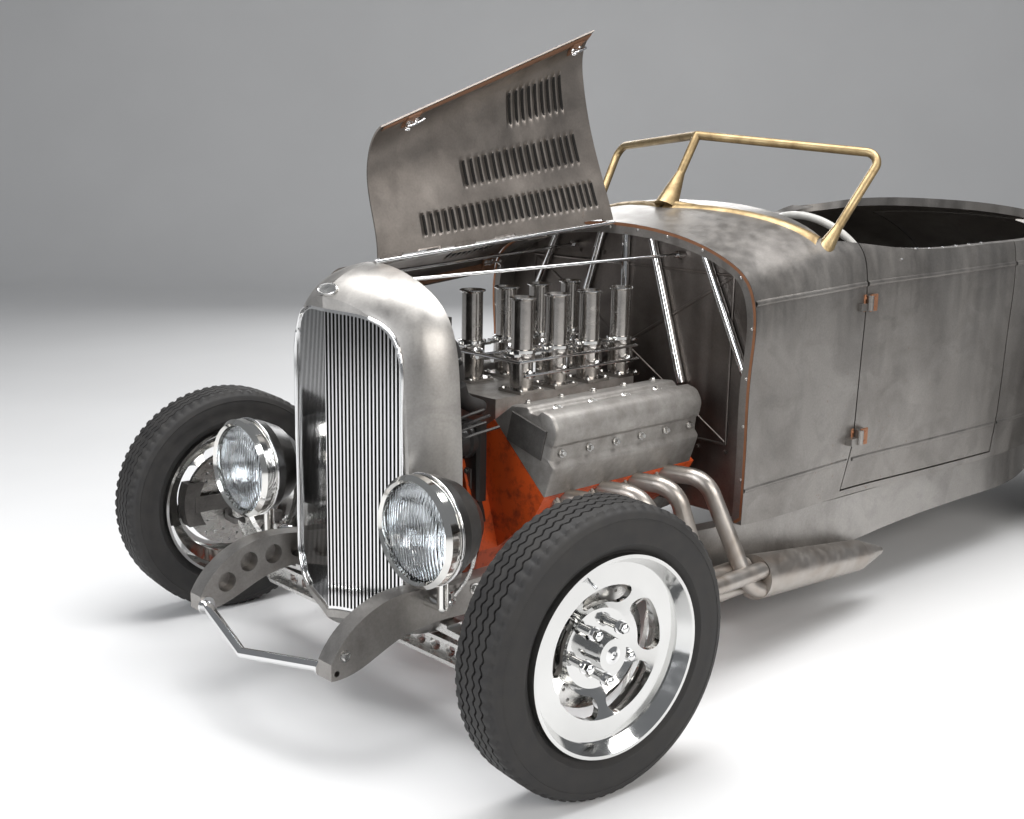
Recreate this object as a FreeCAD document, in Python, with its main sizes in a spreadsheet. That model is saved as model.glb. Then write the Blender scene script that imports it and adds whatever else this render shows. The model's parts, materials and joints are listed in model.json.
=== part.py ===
import FreeCAD, Part
import Sketcher
import math
import os

# A bare-metal street rod roadster with an open V8, one hood half raised and no fenders.
# +X points forward, +Y to the car's left, +Z up. Lengths are millimetres, angles degrees.
# Every place below is measured from the front axle line on the ground. The finished
# pieces are shifted together, so that the origin is under the middle of the car.

SIZES = {
    # Stance
    "wheelbase": 2692,
    "front_track_half": 704,
    "rear_track_half": 715,
    "steer_angle": -6.5,
    "front_reach": 402,
    "rear_reach": 3352,
    "running_gap": 0.1,
    "panel_gap": 5,
    "cut_overrun": 20,
    # Front wheel and tyre
    "front_tyre_radius": 305,
    "front_tyre_half_width": 70,
    "front_tread_half_width": 54,
    "front_lip_radius": 209,
    "front_rim_half_width": 71,
    # Rear wheel and tyre
    "rear_tyre_radius": 360,
    "rear_tyre_half_width": 105,
    "rear_tread_half_width": 86,
    "rear_lip_radius": 216,
    "rear_rim_half_width": 98,
    # Parts of each wheel
    "lip_height": 16,
    "bead_width": 20,
    "rim_well_depth": 30,
    "rim_wall": 7,
    "tyre_wall": 12,
    "disc_face_inset": 40,
    "disc_thickness": 14,
    "disc_dish": 28,
    "hub_pad_radius": 84,
    "hub_pad_thickness": 7,
    "hub_cap_radius": 34,
    "hub_cap_length": 58,
    "hub_socket_radius": 15,
    "hub_socket_depth": 22,
    "slot_count": 5,
    "slot_inner_radius": 98,
    "slot_outer_radius": 140,
    "slot_half_angle": 20,
    "lug_count": 5,
    "lug_circle_radius": 57,
    "lug_radius": 9,
    "lug_length": 30,
    "spindle_radius": 20,
    "spindle_length": 62,
    # Brakes
    "brake_disc_radius": 132,
    "brake_disc_thickness": 12,
    "brake_hat_radius": 78,
    "brake_disc_inset": 21,
    "brake_hole_radius": 4,
    "brake_hole_count": 10,
    "brake_hole_rows": 3,
    "caliper_width": 28,
    "caliper_outboard": 18,
    "caliper_bridge": 15,
    "caliper_length": 118,
    "disc_bore_radius": 21,
    "caliper_depth": 27,
    "drum_radius": 140,
    "drum_width": 60,
    # Front axle beam and knuckles
    "kingpin_offset": 72,
    "kingpin_radius": 11,
    "boss_radius": 21,
    "boss_height": 74,
    "yoke_radius": 25,
    "yoke_thickness": 16,
    "yoke_gap": 5,
    "yoke_web": 20,
    "axle_bottom": 128,
    "axle_height": 58,
    "axle_flange_width": 50,
    "axle_flange": 9,
    "axle_web": 14,
    "axle_drop_inner": 450,
    "axle_drop_outer": 560,
    "axle_hole_radius": 17,
    "axle_hole_pitch": 52,
    "axle_hole_count": 15,
    "arm_length": 110,
    "arm_room_radius": 38,
    "arm_drop": 15,
    "arm_radius": 12,
    "ball_radius": 14,
    "ball_stud_radius": 7,
    "ball_stud_length": 34,
    "tie_rod_radius": 8,
    "tie_end_radius": 16,
    "tie_end_height": 24,
    # Springs and radius rods
    "spring_leaf_width": 44,
    "spring_leaf_thickness": 7,
    "spring_leaves": 5,
    "spring_half_length": 400,
    "spring_rise": 14,
    "spring_seat_z": 204,
    "hairpin_radius": 12,
    "hairpin_spread": 58,
    "hairpin_length": 660,
    "hairpin_axle_y": 470,
    "hairpin_frame_y": 395,
    "hairpin_frame_z": 215,
    # Frame rails
    "rail_front_x": 352,
    "rail_rear_x": 3300,
    "rail_half_width": 520,
    "rail_crown": 336,
    "rail_wall": 46,
    "horn_hole_radius": 24,
    "horn_hole_depth": 30,
    "horn_bolt_radius": 6.5,
    "crossmember_radius": 32,
    "front_crossmember_width": 84,
    "front_crossmember_height": 44,
    "front_crossmember_z": 262,
    "center_crossmember_x": 1500,
    "rear_crossmember_x": 2866,
    "spreader_radius": 12,
    "spreader_end_x": 338,
    "spreader_z": 202,
    "spreader_apex_drop": 29,
    "spreader_pad_radius": 21,
    "spreader_pad_thickness": 5,
    "rear_spreader_z": 372,
    "rear_spreader_y": 358,
    "rear_spreader_radius": 16,
    # Rear axle
    "rear_tube_radius": 38,
    "rear_housing_radius": 132,
    "rear_housing_width": 190,
    "axle_arch_radius": 62,
    "engine_mount_x": 330,
    "engine_mount_length": 60,
    "engine_mount_z": 272,
    "engine_mount_height": 38,
    "rear_spring_y": 360,
    "rear_shock_radius": 32,
    "driveshaft_radius": 36,
    # Engine
    "engine_front_x": 222,
    "engine_length": 545,
    "deck_inner_y": 150,
    "deck_inner_z": 640,
    "deck_outer_y": 322,
    "deck_outer_z": 484,
    "head_lower_y": 286,
    "head_lower_z": 424,
    "block_waist_y": 168,
    "block_waist_z": 330,
    "pan_rail_y": 140,
    "pan_rail_z": 262,
    "valley_z": 596,
    "front_cover_depth": 60,
    "pan_depth": 96,
    "pan_width_half": 118,
    "pulley_radius": 84,
    "pulley_width": 30,
    "pulley_z": 342,
    "cover_ridge_y": 356,
    "cover_ridge_z": 664,
    "cover_inner_y": 206,
    "cover_inner_z": 686,
    "cover_side_y": 342,
    "cover_side_z": 562,
    "cover_length": 528,
    "cover_step": 12,
    "cover_rib_width": 46,
    "gearbox_length": 640,
    "gearbox_front_radius": 172,
    "gearbox_rear_radius": 82,
    "gearbox_z": 330,
    # Induction
    "bore_spacing": 119,
    "first_bore_x": 365,
    "stack_y": 92,
    "stack_radius": 27,
    "stack_wall": 2.5,
    "stack_lip_radius": 31,
    "stack_lip_height": 8,
    "stack_top_z": 916,
    "stack_base_z": 782,
    "throttle_radius": 33,
    "throttle_flange": 8,
    "throttle_flange_half": 40,
    "manifold_top_z": 682,
    "manifold_half_width": 128,
    # Exhaust
    "port_y": 300,
    "port_z": 468,
    "primary_radius": 22,
    "primary_bend": 66,
    "collector_front_x": 790,
    "collector_length": 480,
    "collector_front_radius": 58,
    "collector_rear_radius": 44,
    "collector_cone_length": 130,
    "collector_tip_radius": 12,
    "collector_outlet_radius": 8,
    "collector_y": 512,
    "collector_front_z": 212,
    "collector_rear_z": 164,
    # Grille shell and radiator
    "shell_rear_x": 15,
    "shell_rear_sweep": 34,
    "shell_half_width": 268,
    "shell_top_z": 1014,
    "shell_bottom_z": 158,
    "shell_middle_x": 106,
    "shell_middle_sweep": 62,
    "shell_middle_half_width": 257,
    "shell_middle_top_z": 990,
    "shell_middle_bottom_z": 166,
    "shell_front_x": 160,
    "shell_front_sweep": 68,
    "shell_front_half_width": 218,
    "shell_front_top_z": 946,
    "shell_front_bottom_z": 198,
    "shell_wall": 7,
    "insert_half_width": 203,
    "insert_top_z": 921,
    "insert_bottom_z": 216,
    "insert_setback": 4,
    "bar_pitch": 9.6,
    "bar_width": 4,
    "bar_depth": 12,
    "surround_width": 8,
    "surround_depth": 14,
    "radiator_x": 4,
    "radiator_depth": 52,
    "radiator_half_width": 212,
    "radiator_bottom_z": 302,
    "radiator_top_z": 905,
    "tank_height": 56,
    "stay_radius": 4.5,
    "stay_front_y": 60,
    "stay_front_z": 976,
    "stay_rear_y": 192,
    "stay_rear_z": 1002,
    "stay_boss_radius": 10,
    "stay_boss_length": 24,
    # Head lamps
    "lamp_x": 184,
    "lamp_y": 338,
    "lamp_z": 488,
    "lamp_radius": 118,
    "lamp_ring_depth": 26,
    "lamp_bowl_depth": 150,
    "lamp_wall": 4,
    "lens_crown": 20,
    "lens_thickness": 5,
    "lamp_stand_radius": 13,
    "lamp_stand_x": 96,
    "lamp_stand_y": 312,
    # Body
    "body_front_x": 790,
    "body_length": 2490,
    "body_half_width": 556,
    "body_bottom_z": 330,
    "body_height": 796,
    "body_wall": 30,
    "door_front_x": 1273,
    "door_rear_x": 2003,
    "door_toe_shift": 34,
    "door_bottom_z": 352,
    "door_knee_z": 478,
    "door_pin_y": 499,
    "door_pin_drop": 24,
    "door_pin_radius": 5,
    "door_knuckle_radius": 9,
    "door_knuckle_length": 40,
    "door_knuckle_gap": 0.5,
    "door_leaf_thickness": 4,
    "door_leaf_length": 38,
    "door_hinge_upper_z": 872,
    "door_hinge_lower_z": 500,
    "cockpit_front_x": 1150,
    "cockpit_rear_x": 2470,
    "cockpit_corner_x": 2330,
    "cockpit_half_width": 486,
    "door_top_front_z": 1040,
    "door_top_low_z": 1006,
    "lid_front_x": 2622,
    "lid_front_gap": 8,
    "lid_half_width": 320,
    "lid_radius": 530,
    "lid_hinge_z": 1070,
    "lid_hinge_radius": 8,
    "lid_hinge_length": 30,
    "lid_pin_radius": 4,
    "lid_hinge_leaf": 24,
    "lid_hinge_leaf_thickness": 9,
    "lid_hinge_y": 130,
    "floor_z": 344,
    "floor_thickness": 12,
    "floor_rear_x": 2380,
    "tail_floor_z": 556,
    "tail_floor_rear_x": 3000,
    "tunnel_half_width": 190,
    "tunnel_top_z": 520,
    "tunnel_length": 1560,
    "firewall_x": 850,
    "firewall_thickness": 8,
    "dash_x": 1178,
    "dash_thickness": 26,
    "dash_bottom_z": 900,
    "dash_top_z": 1034,
    "brace_radius": 11,
    # Windshield frame
    "post_foot_x": 1000,
    "post_foot_z": 1110,
    "post_top_x": 1124,
    "post_top_z": 1306,
    "corner_x": 1328,
    "corner_y": 472,
    "corner_z": 1266,
    "side_foot_x": 1138,
    "side_foot_y": 424,
    "side_foot_z": 1006,
    "sill_rise": 22,
    "windshield_radius": 12,
    "windshield_bend": 34,
    "post_foot_length": 110,
    "post_foot_half_width": 26,
    # Steering
    "wheel_center_x": 1392,
    "wheel_center_y": 238,
    "wheel_center_z": 952,
    "wheel_ring_radius": 170,
    "wheel_grip_radius": 11,
    "wheel_hub_radius": 34,
    "wheel_hub_length": 26,
    "wheel_spokes": 3,
    "wheel_spoke_width": 22,
    "wheel_spoke_thickness": 5,
    "column_angle": 35,
    "column_radius": 22,
    # Hood
    "hood_gap": 5,
    "hood_thickness": 4,
    "hood_open_angle": 115,
    "hood_front_half_width": 256,
    "hood_front_edge_z": 876,
    "hood_front_top_z": 1014,
    "hood_rear_half_width": 472,
    "hood_rear_edge_z": 903,
    "hood_rear_top_z": 1073,
    "hood_rod_radius": 5,
    "hood_knuckle_radius": 8,
    "hood_knuckle_length": 62,
    # Tank
    "fuel_tank_length": 200,
    "fuel_tank_half_width": 330,
    "fuel_tank_bottom_z": 262,
    "fuel_tank_top_z": 404,
    "filler_y": 282,
    "filler_radius": 21,
    "filler_bore_radius": 18,
    "filler_height": 40,
}

# Outlines and places as shares of the sizes that they follow.
SHELL_OUTLINE_SHARES = (
    (0.0, 1.0), (0.22, 0.992), (0.46, 0.968), (0.68, 0.93), (0.84, 0.876),
    (0.93, 0.80), (0.97, 0.68), (1.0, 0.50), (1.0, 0.30), (0.985, 0.15),
    (0.87, 0.055), (0.45, 0.012), (0.0, 0.0),
)
INSERT_OUTLINE_SHARES = (
    (0.0, 1.0), (0.37, 0.993), (0.64, 0.978), (0.83, 0.945), (0.94, 0.893),
    (0.985, 0.74), (1.0, 0.52), (0.99, 0.22), (0.955, 0.09), (0.76, 0.03),
    (0.30, 0.008), (0.0, 0.0),
)
HOOD_FRONT_SHARES = ((0.0, 1.0), (0.41, 0.83), (0.76, 0.70), (0.90, 0.50), (1.0, 0.0))
HOOD_REAR_SHARES = ((0.0, 1.0), (0.45, 0.85), (0.80, 0.60), (0.935, 0.40), (1.0, 0.0))
HOOD_KNUCKLE_SHARES = ((0.06, 0.34, 0.66), (0.20, 0.50, 0.90))
# Along the rail: place, half width, bottom and top.
RAIL_STATION_SHARES = (
    (0.0, 0.548, 0.56, 0.67), (0.017, 0.55, 0.572, 0.875), (0.047, 0.55, 0.693, 0.994),
    (0.083, 0.552, 0.738, 0.967), (0.13, 0.562, 0.70, 0.967), (0.22, 0.673, 0.55, 0.976),
    (0.321, 0.837, 0.443, 0.988), (0.452, 0.896, 0.54, 0.967), (0.644, 0.97, 0.625, 0.967),
    (0.735, 0.96, 0.72, 1.03), (0.788, 0.895, 1.02, 1.30), (0.835, 0.84, 1.28, 1.53),
    (0.885, 0.79, 1.27, 1.52), (0.945, 0.72, 1.09, 1.33), (1.0, 0.68, 1.0, 1.21),
)
HORN_HOLE_SHARES = ((0.02, 0.73), (0.037, 0.84), (0.056, 0.855), (0.076, 0.86))
# Along the body: place, belt half width, bottom half width, bottom, belt, top, squareness.
BODY_STATION_SHARES = (
    (0.0, 0.849, 0.838, 0.01, 0.722, 0.937, 2.0),
    (0.084, 0.857, 0.838, 0.0, 0.733, 0.982, 2.15),
    (0.141, 0.866, 0.84, 0.0, 0.74, 0.998, 2.4),
    (0.195, 0.875, 0.846, 0.0, 0.748, 1.0, 2.6),
    (0.345, 0.936, 0.90, 0.0, 0.77, 0.992, 2.8),
    (0.488, 0.98, 0.944, 0.0, 0.787, 0.98, 2.8),
    (0.606, 1.0, 0.955, 0.02, 0.798, 0.974, 2.6),
    (0.687, 0.99, 0.936, 0.05, 0.79, 0.962, 2.4),
    (0.80, 0.93, 0.87, 0.085, 0.735, 0.868, 2.2),
    (0.90, 0.79, 0.73, 0.10, 0.62, 0.70, 2.1),
    (0.964, 0.60, 0.55, 0.11, 0.46, 0.51, 2.0),
    (1.0, 0.38, 0.34, 0.13, 0.30, 0.33, 2.0),
)
BODY_SIDE_SHARES = (0.0, 0.34, 0.7)
BODY_SIDE_BULGE_SHARES = (0.0, 0.60, 0.95)
SHOULDER_ANGLE_SHARES = (0.0, 0.2, 0.4, 0.58, 0.76, 0.9)
# Door top line: place between the cockpit's ends, height between its low point and top.
DOOR_TOP_SHARES = ((0.0, 1.05), (0.10, 0.72), (0.27, 0.08), (0.62, 0.0), (0.87, 0.18), (0.97, 1.0))

doc = FreeCAD.newDocument("street_rod_roadster")
sheet = doc.addObject("Spreadsheet::Sheet", "Sizes")
for row, (alias, value) in enumerate(SIZES.items(), start=1):
    sheet.set("A%d" % row, alias)
    sheet.set("B%d" % row, str(value))
    sheet.setAlias("B%d" % row, alias)
doc.recompute()


class SheetSizes:
    """The driving dimensions, read from the document's sheet by name."""

    def __getattr__(self, alias):
        return float(sheet.get(alias))


size = SheetSizes()
shift = FreeCAD.Vector((size.rear_reach - size.front_reach) / 2, 0, 0)
pieces = {}


def point(x, y, z):
    return FreeCAD.Vector(x, y, z)


ALONG_X = point(1, 0, 0)
ALONG_Y = point(0, 1, 0)
ALONG_Z = point(0, 0, 1)


def unit(vector):
    return vector / vector.Length


def keep(label, shape, placement=None):
    """Adds one finished sub-part, shaped in the axle frame, at its shifted place."""
    piece = doc.addObject("Part::Feature", label)
    piece.Label = label
    piece.Shape = shape
    own = placement if placement else FreeCAD.Placement()
    whole_place = FreeCAD.Placement(shift, FreeCAD.Rotation()).multiply(own)
    piece.Placement = whole_place.multiply(shape.Placement)
    pieces[label] = piece
    return piece


def keep_bound(label, piece, placement=None):
    """Takes in a parametric feature as a sub-part and puts it at its shifted place."""
    piece.Label = label
    own = placement if placement else FreeCAD.Placement()
    piece.Placement = FreeCAD.Placement(shift, FreeCAD.Rotation()).multiply(own)
    pieces[label] = piece
    return piece


def both_sides(shape):
    return shape.fuse(mirrored(shape))


def mirrored(shape):
    return shape.mirror(point(0, 0, 0), ALONG_Y)


def cylinder(start, end, radius):
    return Part.makeCylinder(radius, (end - start).Length, start, end - start)


def cone(start, end, start_radius, end_radius):
    return Part.makeCone(start_radius, end_radius, (end - start).Length, start, end - start)


def box(low, high):
    spans = high - low
    return Part.makeBox(spans.x, spans.y, spans.z, low)


def fused(shapes):
    whole = shapes[0]
    if len(shapes) > 1:
        whole = whole.fuse(list(shapes[1:]))
    return whole.removeSplitter()


def prism(outline, depth):
    """A flat outline pushed along a vector."""
    loop = Part.makePolygon(list(outline) + [outline[0]])
    return Part.Face(loop).extrude(depth)


def rod(points, radius):
    """Straight round bars from point to point, rounded where they meet."""
    bars = [cylinder(a, b, radius) for a, b in zip(points, points[1:])]
    bars += [Part.makeSphere(radius, corner) for corner in points[1:-1]]
    return fused(bars) if len(bars) > 1 else bars[0]


def bent_path(points, bend):
    """Straight runs joined by tangent arcs of one radius."""
    edges = []
    start = points[0]
    for before, corner, after in zip(points, points[1:], points[2:]):
        inward = unit(corner - before)
        outward = unit(after - corner)
        half_turn = inward.getAngle(outward) / 2
        setback = bend * math.tan(half_turn)
        arc_start = corner - inward * setback
        arc_end = corner + outward * setback
        rise = bend / math.cos(half_turn) - bend
        middle = corner + unit(outward - inward) * rise
        edges.append(Part.LineSegment(start, arc_start).toShape())
        edges.append(Part.Arc(arc_start, middle, arc_end).toShape())
        start = arc_end
    edges.append(Part.LineSegment(start, points[-1]).toShape())
    return Part.Wire(edges)


def bent_tube(points, radius, bend):
    path = bent_path(points, bend)
    ring = Part.Wire(Part.makeCircle(radius, points[0], points[1] - points[0]))
    return path.makePipeShell([ring], True, False)


def turned_y(profile):
    """A closed profile of (radius, y) pairs, turned round the Y axis."""
    outline = [point(radius, y, 0) for radius, y in profile]
    face = Part.Face(Part.makePolygon(outline + [outline[0]]))
    return face.revolve(point(0, 0, 0), ALONG_Y, 360)


def turned_x(profile):
    """A closed profile of (x, radius) pairs, turned round the X axis."""
    outline = [point(x, 0, radius) for x, radius in profile]
    face = Part.Face(Part.makePolygon(outline + [outline[0]]))
    return face.revolve(point(0, 0, 0), ALONG_X, 360)


def moved(shape, x, y, z):
    copy = shape.copy()
    copy.translate(point(x, y, z))
    return copy


# Wheels and tyres, shaped round their own centre with the outer side towards +Y.

def tyre_shape(radius, half_width, tread_half_width, lip_radius):
    bead = lip_radius - size.lip_height
    rim_edge = half_width - size.bead_width
    shoulder = radius - size.tyre_wall
    bulge = (lip_radius + radius) / 2
    half = [
        (bead, rim_edge),
        (lip_radius + size.running_gap, rim_edge),
        (lip_radius + size.bead_width, half_width - size.tyre_wall / 4),
        (bulge, half_width),
        (shoulder, (half_width + tread_half_width) / 2),
        (radius - size.tyre_wall / 4, tread_half_width),
        (radius, tread_half_width - size.tyre_wall),
    ]
    inner = [
        (radius - size.tyre_wall, 0),
        (radius - size.tyre_wall * 2, tread_half_width - size.tyre_wall),
        (bulge, half_width - size.tyre_wall),
        (bead, rim_edge - size.tyre_wall),
    ]
    profile = half + [(r, -y) for r, y in reversed(half)]
    profile += [(r, -y) for r, y in reversed(inner[1:])] + inner
    return turned_y(profile)


def rim_profile(lip_radius, rim_half_width, tyre_half_width):
    """The rim barrel: lip, bead seat, well, bead seat, lip, and back inside."""
    bead = lip_radius - size.lip_height
    well = bead - size.rim_well_depth
    seat = tyre_half_width - size.bead_width
    wall = size.rim_wall
    outer = [
        (lip_radius, rim_half_width),
        (lip_radius, seat + size.running_gap),
        (bead - size.running_gap, seat + size.running_gap),
        (bead - size.running_gap, seat - size.bead_width),
        (well, seat - size.bead_width * 2),
    ]
    return outer, bead, well, wall


def hub_inner():
    """How far inside the wheel's middle the mounting pad ends."""
    return size.disc_face_inset - size.disc_dish - size.disc_thickness - size.hub_pad_thickness


def wheel_shape(lip_radius, rim_half_width, tyre_half_width):
    outer, bead, well, wall = rim_profile(lip_radius, rim_half_width, tyre_half_width)
    inner = [
        (lip_radius - wall, rim_half_width),
        (bead - wall, outer[1][1] - wall),
        (bead - wall, outer[3][1]),
        (well - wall, outer[4][1]),
    ]
    profile = outer + [(r, -y) for r, y in reversed(outer)]
    profile += [(r, -y) for r, y in inner] + list(reversed(inner))
    barrel = turned_y(profile)
    face = size.disc_face_inset
    thick = size.disc_thickness
    web_radius = well - wall / 2
    if face > outer[4][1]:
        web_radius = bead - wall / 2
    slope = size.disc_dish
    pad = size.hub_pad_radius
    centre = turned_y([
        (size.spindle_radius + size.running_gap, face - slope),
        (pad, face - slope),
        (size.slot_outer_radius, face),
        (web_radius, face),
        (web_radius, face - thick),
        (size.slot_outer_radius, face - thick),
        (pad, face - slope - thick),
        (pad, face - slope - thick - size.hub_pad_thickness),
        (size.spindle_radius + size.running_gap, face - slope - thick - size.hub_pad_thickness),
    ])
    spare = size.cut_overrun
    for index in range(int(size.slot_count)):
        centre = centre.cut(kidney_slot(index, face, slope, thick, spare))
    hub = [barrel, centre]
    pad_face = face - slope
    cap_foot = pad_face - size.disc_thickness
    cap = Part.makeCone(size.hub_cap_radius * 1.12, size.hub_cap_radius, size.hub_cap_length,
                        point(0, cap_foot, 0), ALONG_Y)
    socket = Part.makeCylinder(size.hub_socket_radius, size.hub_socket_depth,
                               point(0, cap_foot + size.hub_cap_length, 0), -ALONG_Y)
    spindle_tip = hub_inner() + size.spindle_length / 2
    bearing = Part.makeCylinder(size.spindle_radius + size.running_gap,
                                spindle_tip + size.running_gap - cap_foot,
                                point(0, cap_foot, 0), ALONG_Y)
    hub.append(cap.cut(socket).cut(bearing))
    for index in range(int(size.lug_count)):
        turn = math.radians(360 * (index + 0.5) / size.lug_count)
        foot = point(size.lug_circle_radius * math.sin(turn), pad_face - size.disc_thickness / 2,
                     size.lug_circle_radius * math.cos(turn))
        hub.append(Part.makeCylinder(size.lug_radius, size.lug_length, foot, ALONG_Y))
    return fused(hub)


def kidney_slot(index, face, slope, thick, spare):
    """A curved slot with round ends, cut through the wheel centre."""
    depth = thick + slope + 2 * spare
    base = point(0, face - slope - thick - spare, 0)
    middle = 360 * index / size.slot_count
    half = size.slot_half_angle
    inner, outer = size.slot_inner_radius, size.slot_outer_radius
    ring = Part.makeCylinder(outer, depth, base, ALONG_Y).cut(
        Part.makeCylinder(inner, depth, base, ALONG_Y))
    reach = outer * 2
    wedge = [base]
    for turn in (middle - half, middle, middle + half):
        angle = math.radians(turn)
        wedge.append(base + point(reach * math.sin(angle), 0, reach * math.cos(angle)))
    slot = ring.common(prism(wedge, point(0, depth, 0)))
    end_radius = (outer - inner) / 2
    centre_radius = (outer + inner) / 2
    for turn in (middle - half, middle + half):
        angle = math.radians(turn)
        place = base + point(centre_radius * math.sin(angle), 0, centre_radius * math.cos(angle))
        slot = slot.fuse(Part.makeCylinder(end_radius, depth, place, ALONG_Y))
    return slot


def side_of(side):
    return "left" if side > 0 else "right"


def steered(side):
    """The rest turn of a front wheel and knuckle about the kingpin."""
    pin = point(0, side * (size.front_track_half - size.kingpin_offset), 0)
    return FreeCAD.Placement(point(0, 0, 0), FreeCAD.Rotation(ALONG_Z, size.steer_angle), pin)


def front_place(side):
    return point(0, side * size.front_track_half, size.front_tyre_radius)


def rear_place(side):
    return point(-size.wheelbase, side * size.rear_track_half, size.rear_tyre_radius)


def sided(shape, side, place):
    copy = shape if side > 0 else mirrored(shape)
    copy = copy.copy()
    copy.translate(place)
    return copy


front_tyre = tyre_shape(size.front_tyre_radius, size.front_tyre_half_width,
                        size.front_tread_half_width, size.front_lip_radius)
front_wheel = wheel_shape(size.front_lip_radius, size.front_rim_half_width,
                          size.front_tyre_half_width)
rear_tyre = tyre_shape(size.rear_tyre_radius, size.rear_tyre_half_width,
                       size.rear_tread_half_width, size.rear_lip_radius)
rear_wheel = wheel_shape(size.rear_lip_radius, size.rear_rim_half_width,
                         size.rear_tyre_half_width)


def brake_disc_body(label, side):
    """A drilled brake disc with its hat, built as features on its own sketches."""
    body = doc.addObject("PartDesign::Body", label)
    plane = [item for item in body.Origin.OriginFeatures if item.Role == "XY_Plane"][0]

    def circle_sketch(name, radii, offset):
        sketch = body.newObject("Sketcher::SketchObject", name)
        sketch.AttachmentSupport = [(plane, "")]
        sketch.MapMode = "FlatFace"
        sketch.AttachmentOffset = FreeCAD.Placement(point(0, 0, offset), FreeCAD.Rotation())
        for alias in radii:
            radius = getattr(size, alias)
            number = sketch.addGeometry(Part.Circle(point(0, 0, 0), ALONG_Z, radius), False)
            sketch.addConstraint(Sketcher.Constraint("Coincident", number, 3, -1, 1))
            rule = sketch.addConstraint(Sketcher.Constraint("Radius", number, radius))
            sketch.setExpression("Constraints[%d]" % rule, "Sizes." + alias)
        return sketch

    ring = circle_sketch(label + "_ring", ("brake_disc_radius", "disc_bore_radius"), 0)
    pad = body.newObject("PartDesign::Pad", label + "_pad")
    pad.Profile = ring
    pad.setExpression("Length", "Sizes.brake_disc_thickness")
    doc.recompute()
    holes = body.newObject("Sketcher::SketchObject", label + "_holes")
    holes.AttachmentSupport = [(plane, "")]
    holes.MapMode = "FlatFace"
    rows = int(size.brake_hole_rows)
    face_width = size.brake_disc_radius - size.brake_hat_radius
    for row in range(rows):
        share = (row + 1) / (rows + 1)
        turn = math.radians(360 / size.brake_hole_count * row / rows)
        radius = size.brake_hat_radius + face_width * share
        centre = point(radius * math.cos(turn), radius * math.sin(turn), 0)
        number = holes.addGeometry(Part.Circle(centre, ALONG_Z, size.brake_hole_radius), False)
        rule = holes.addConstraint(Sketcher.Constraint("Radius", number, size.brake_hole_radius))
        holes.setExpression("Constraints[%d]" % rule, "Sizes.brake_hole_radius")
    pocket = body.newObject("PartDesign::Pocket", label + "_drilling")
    pocket.Profile = holes
    pocket.Type = "ThroughAll"
    pocket.Reversed = True
    doc.recompute()
    pattern = body.newObject("PartDesign::PolarPattern", label + "_pattern")
    pattern.Originals = [pocket]
    axis = [item for item in body.Origin.OriginFeatures if item.Role == "Z_Axis"][0]
    pattern.Axis = (axis, [""])
    pattern.Angle = 360
    pattern.setExpression("Occurrences", "Sizes.brake_hole_count")
    body.Tip = pattern
    doc.recompute()
    lay = FreeCAD.Rotation(ALONG_X, -90 * side)
    centre = front_place(side) - point(0, side * size.brake_disc_inset, 0)
    return keep_bound(label, body, steered(side).multiply(FreeCAD.Placement(centre, lay)))


def add_front_wheels():
    for side in (1, -1):
        name = side_of(side)
        place = front_place(side)
        keep("tyre_front_" + name, sided(front_tyre, side, place), steered(side))
        keep("wheel_front_" + name, sided(front_wheel, side, place), steered(side))
        brake_disc_body("brake_disc_front_" + name, side)


def add_rear_wheels():
    for side in (1, -1):
        name = side_of(side)
        place = rear_place(side)
        keep("tyre_rear_" + name, sided(rear_tyre, side, place))
        inner = point(0, hub_inner(), 0)
        drum = Part.makeCylinder(size.drum_radius, size.drum_width, inner, -ALONG_Y)
        bore = Part.makeCylinder(size.rear_tube_radius + size.panel_gap, size.drum_width, inner,
                                 -ALONG_Y)
        keep("wheel_rear_" + name, sided(fused([rear_wheel, drum.cut(bore)]), side, place))


# Front axle, knuckles and steering

def kingpin_place(side):
    return point(0, side * (size.front_track_half - size.kingpin_offset), 0)


def axle_band(inset):
    """The beam's outline seen from the front, drawn in by the flange."""
    bottom = size.axle_bottom + inset
    top = size.axle_bottom + size.axle_height - inset
    end_y = size.front_track_half - size.kingpin_offset - inset
    hub = size.front_tyre_radius
    end_low = hub - size.boss_height / 3 + inset
    end_high = hub + size.boss_height / 3 - inset
    drop_in, drop_out = size.axle_drop_inner, size.axle_drop_outer
    right = [
        (drop_in + inset / 2, bottom), (drop_out + inset / 2, (bottom + end_low) / 2),
        (end_y, end_low), (end_y, end_high), (drop_out - inset, (top + end_high) / 2 + inset),
        (drop_in - inset / 2, top),
    ]
    outline = [point(0, y, z_) for y, z_ in right]
    outline += [point(0, -y, z_) for y, z_ in reversed(right)]
    return outline


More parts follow.
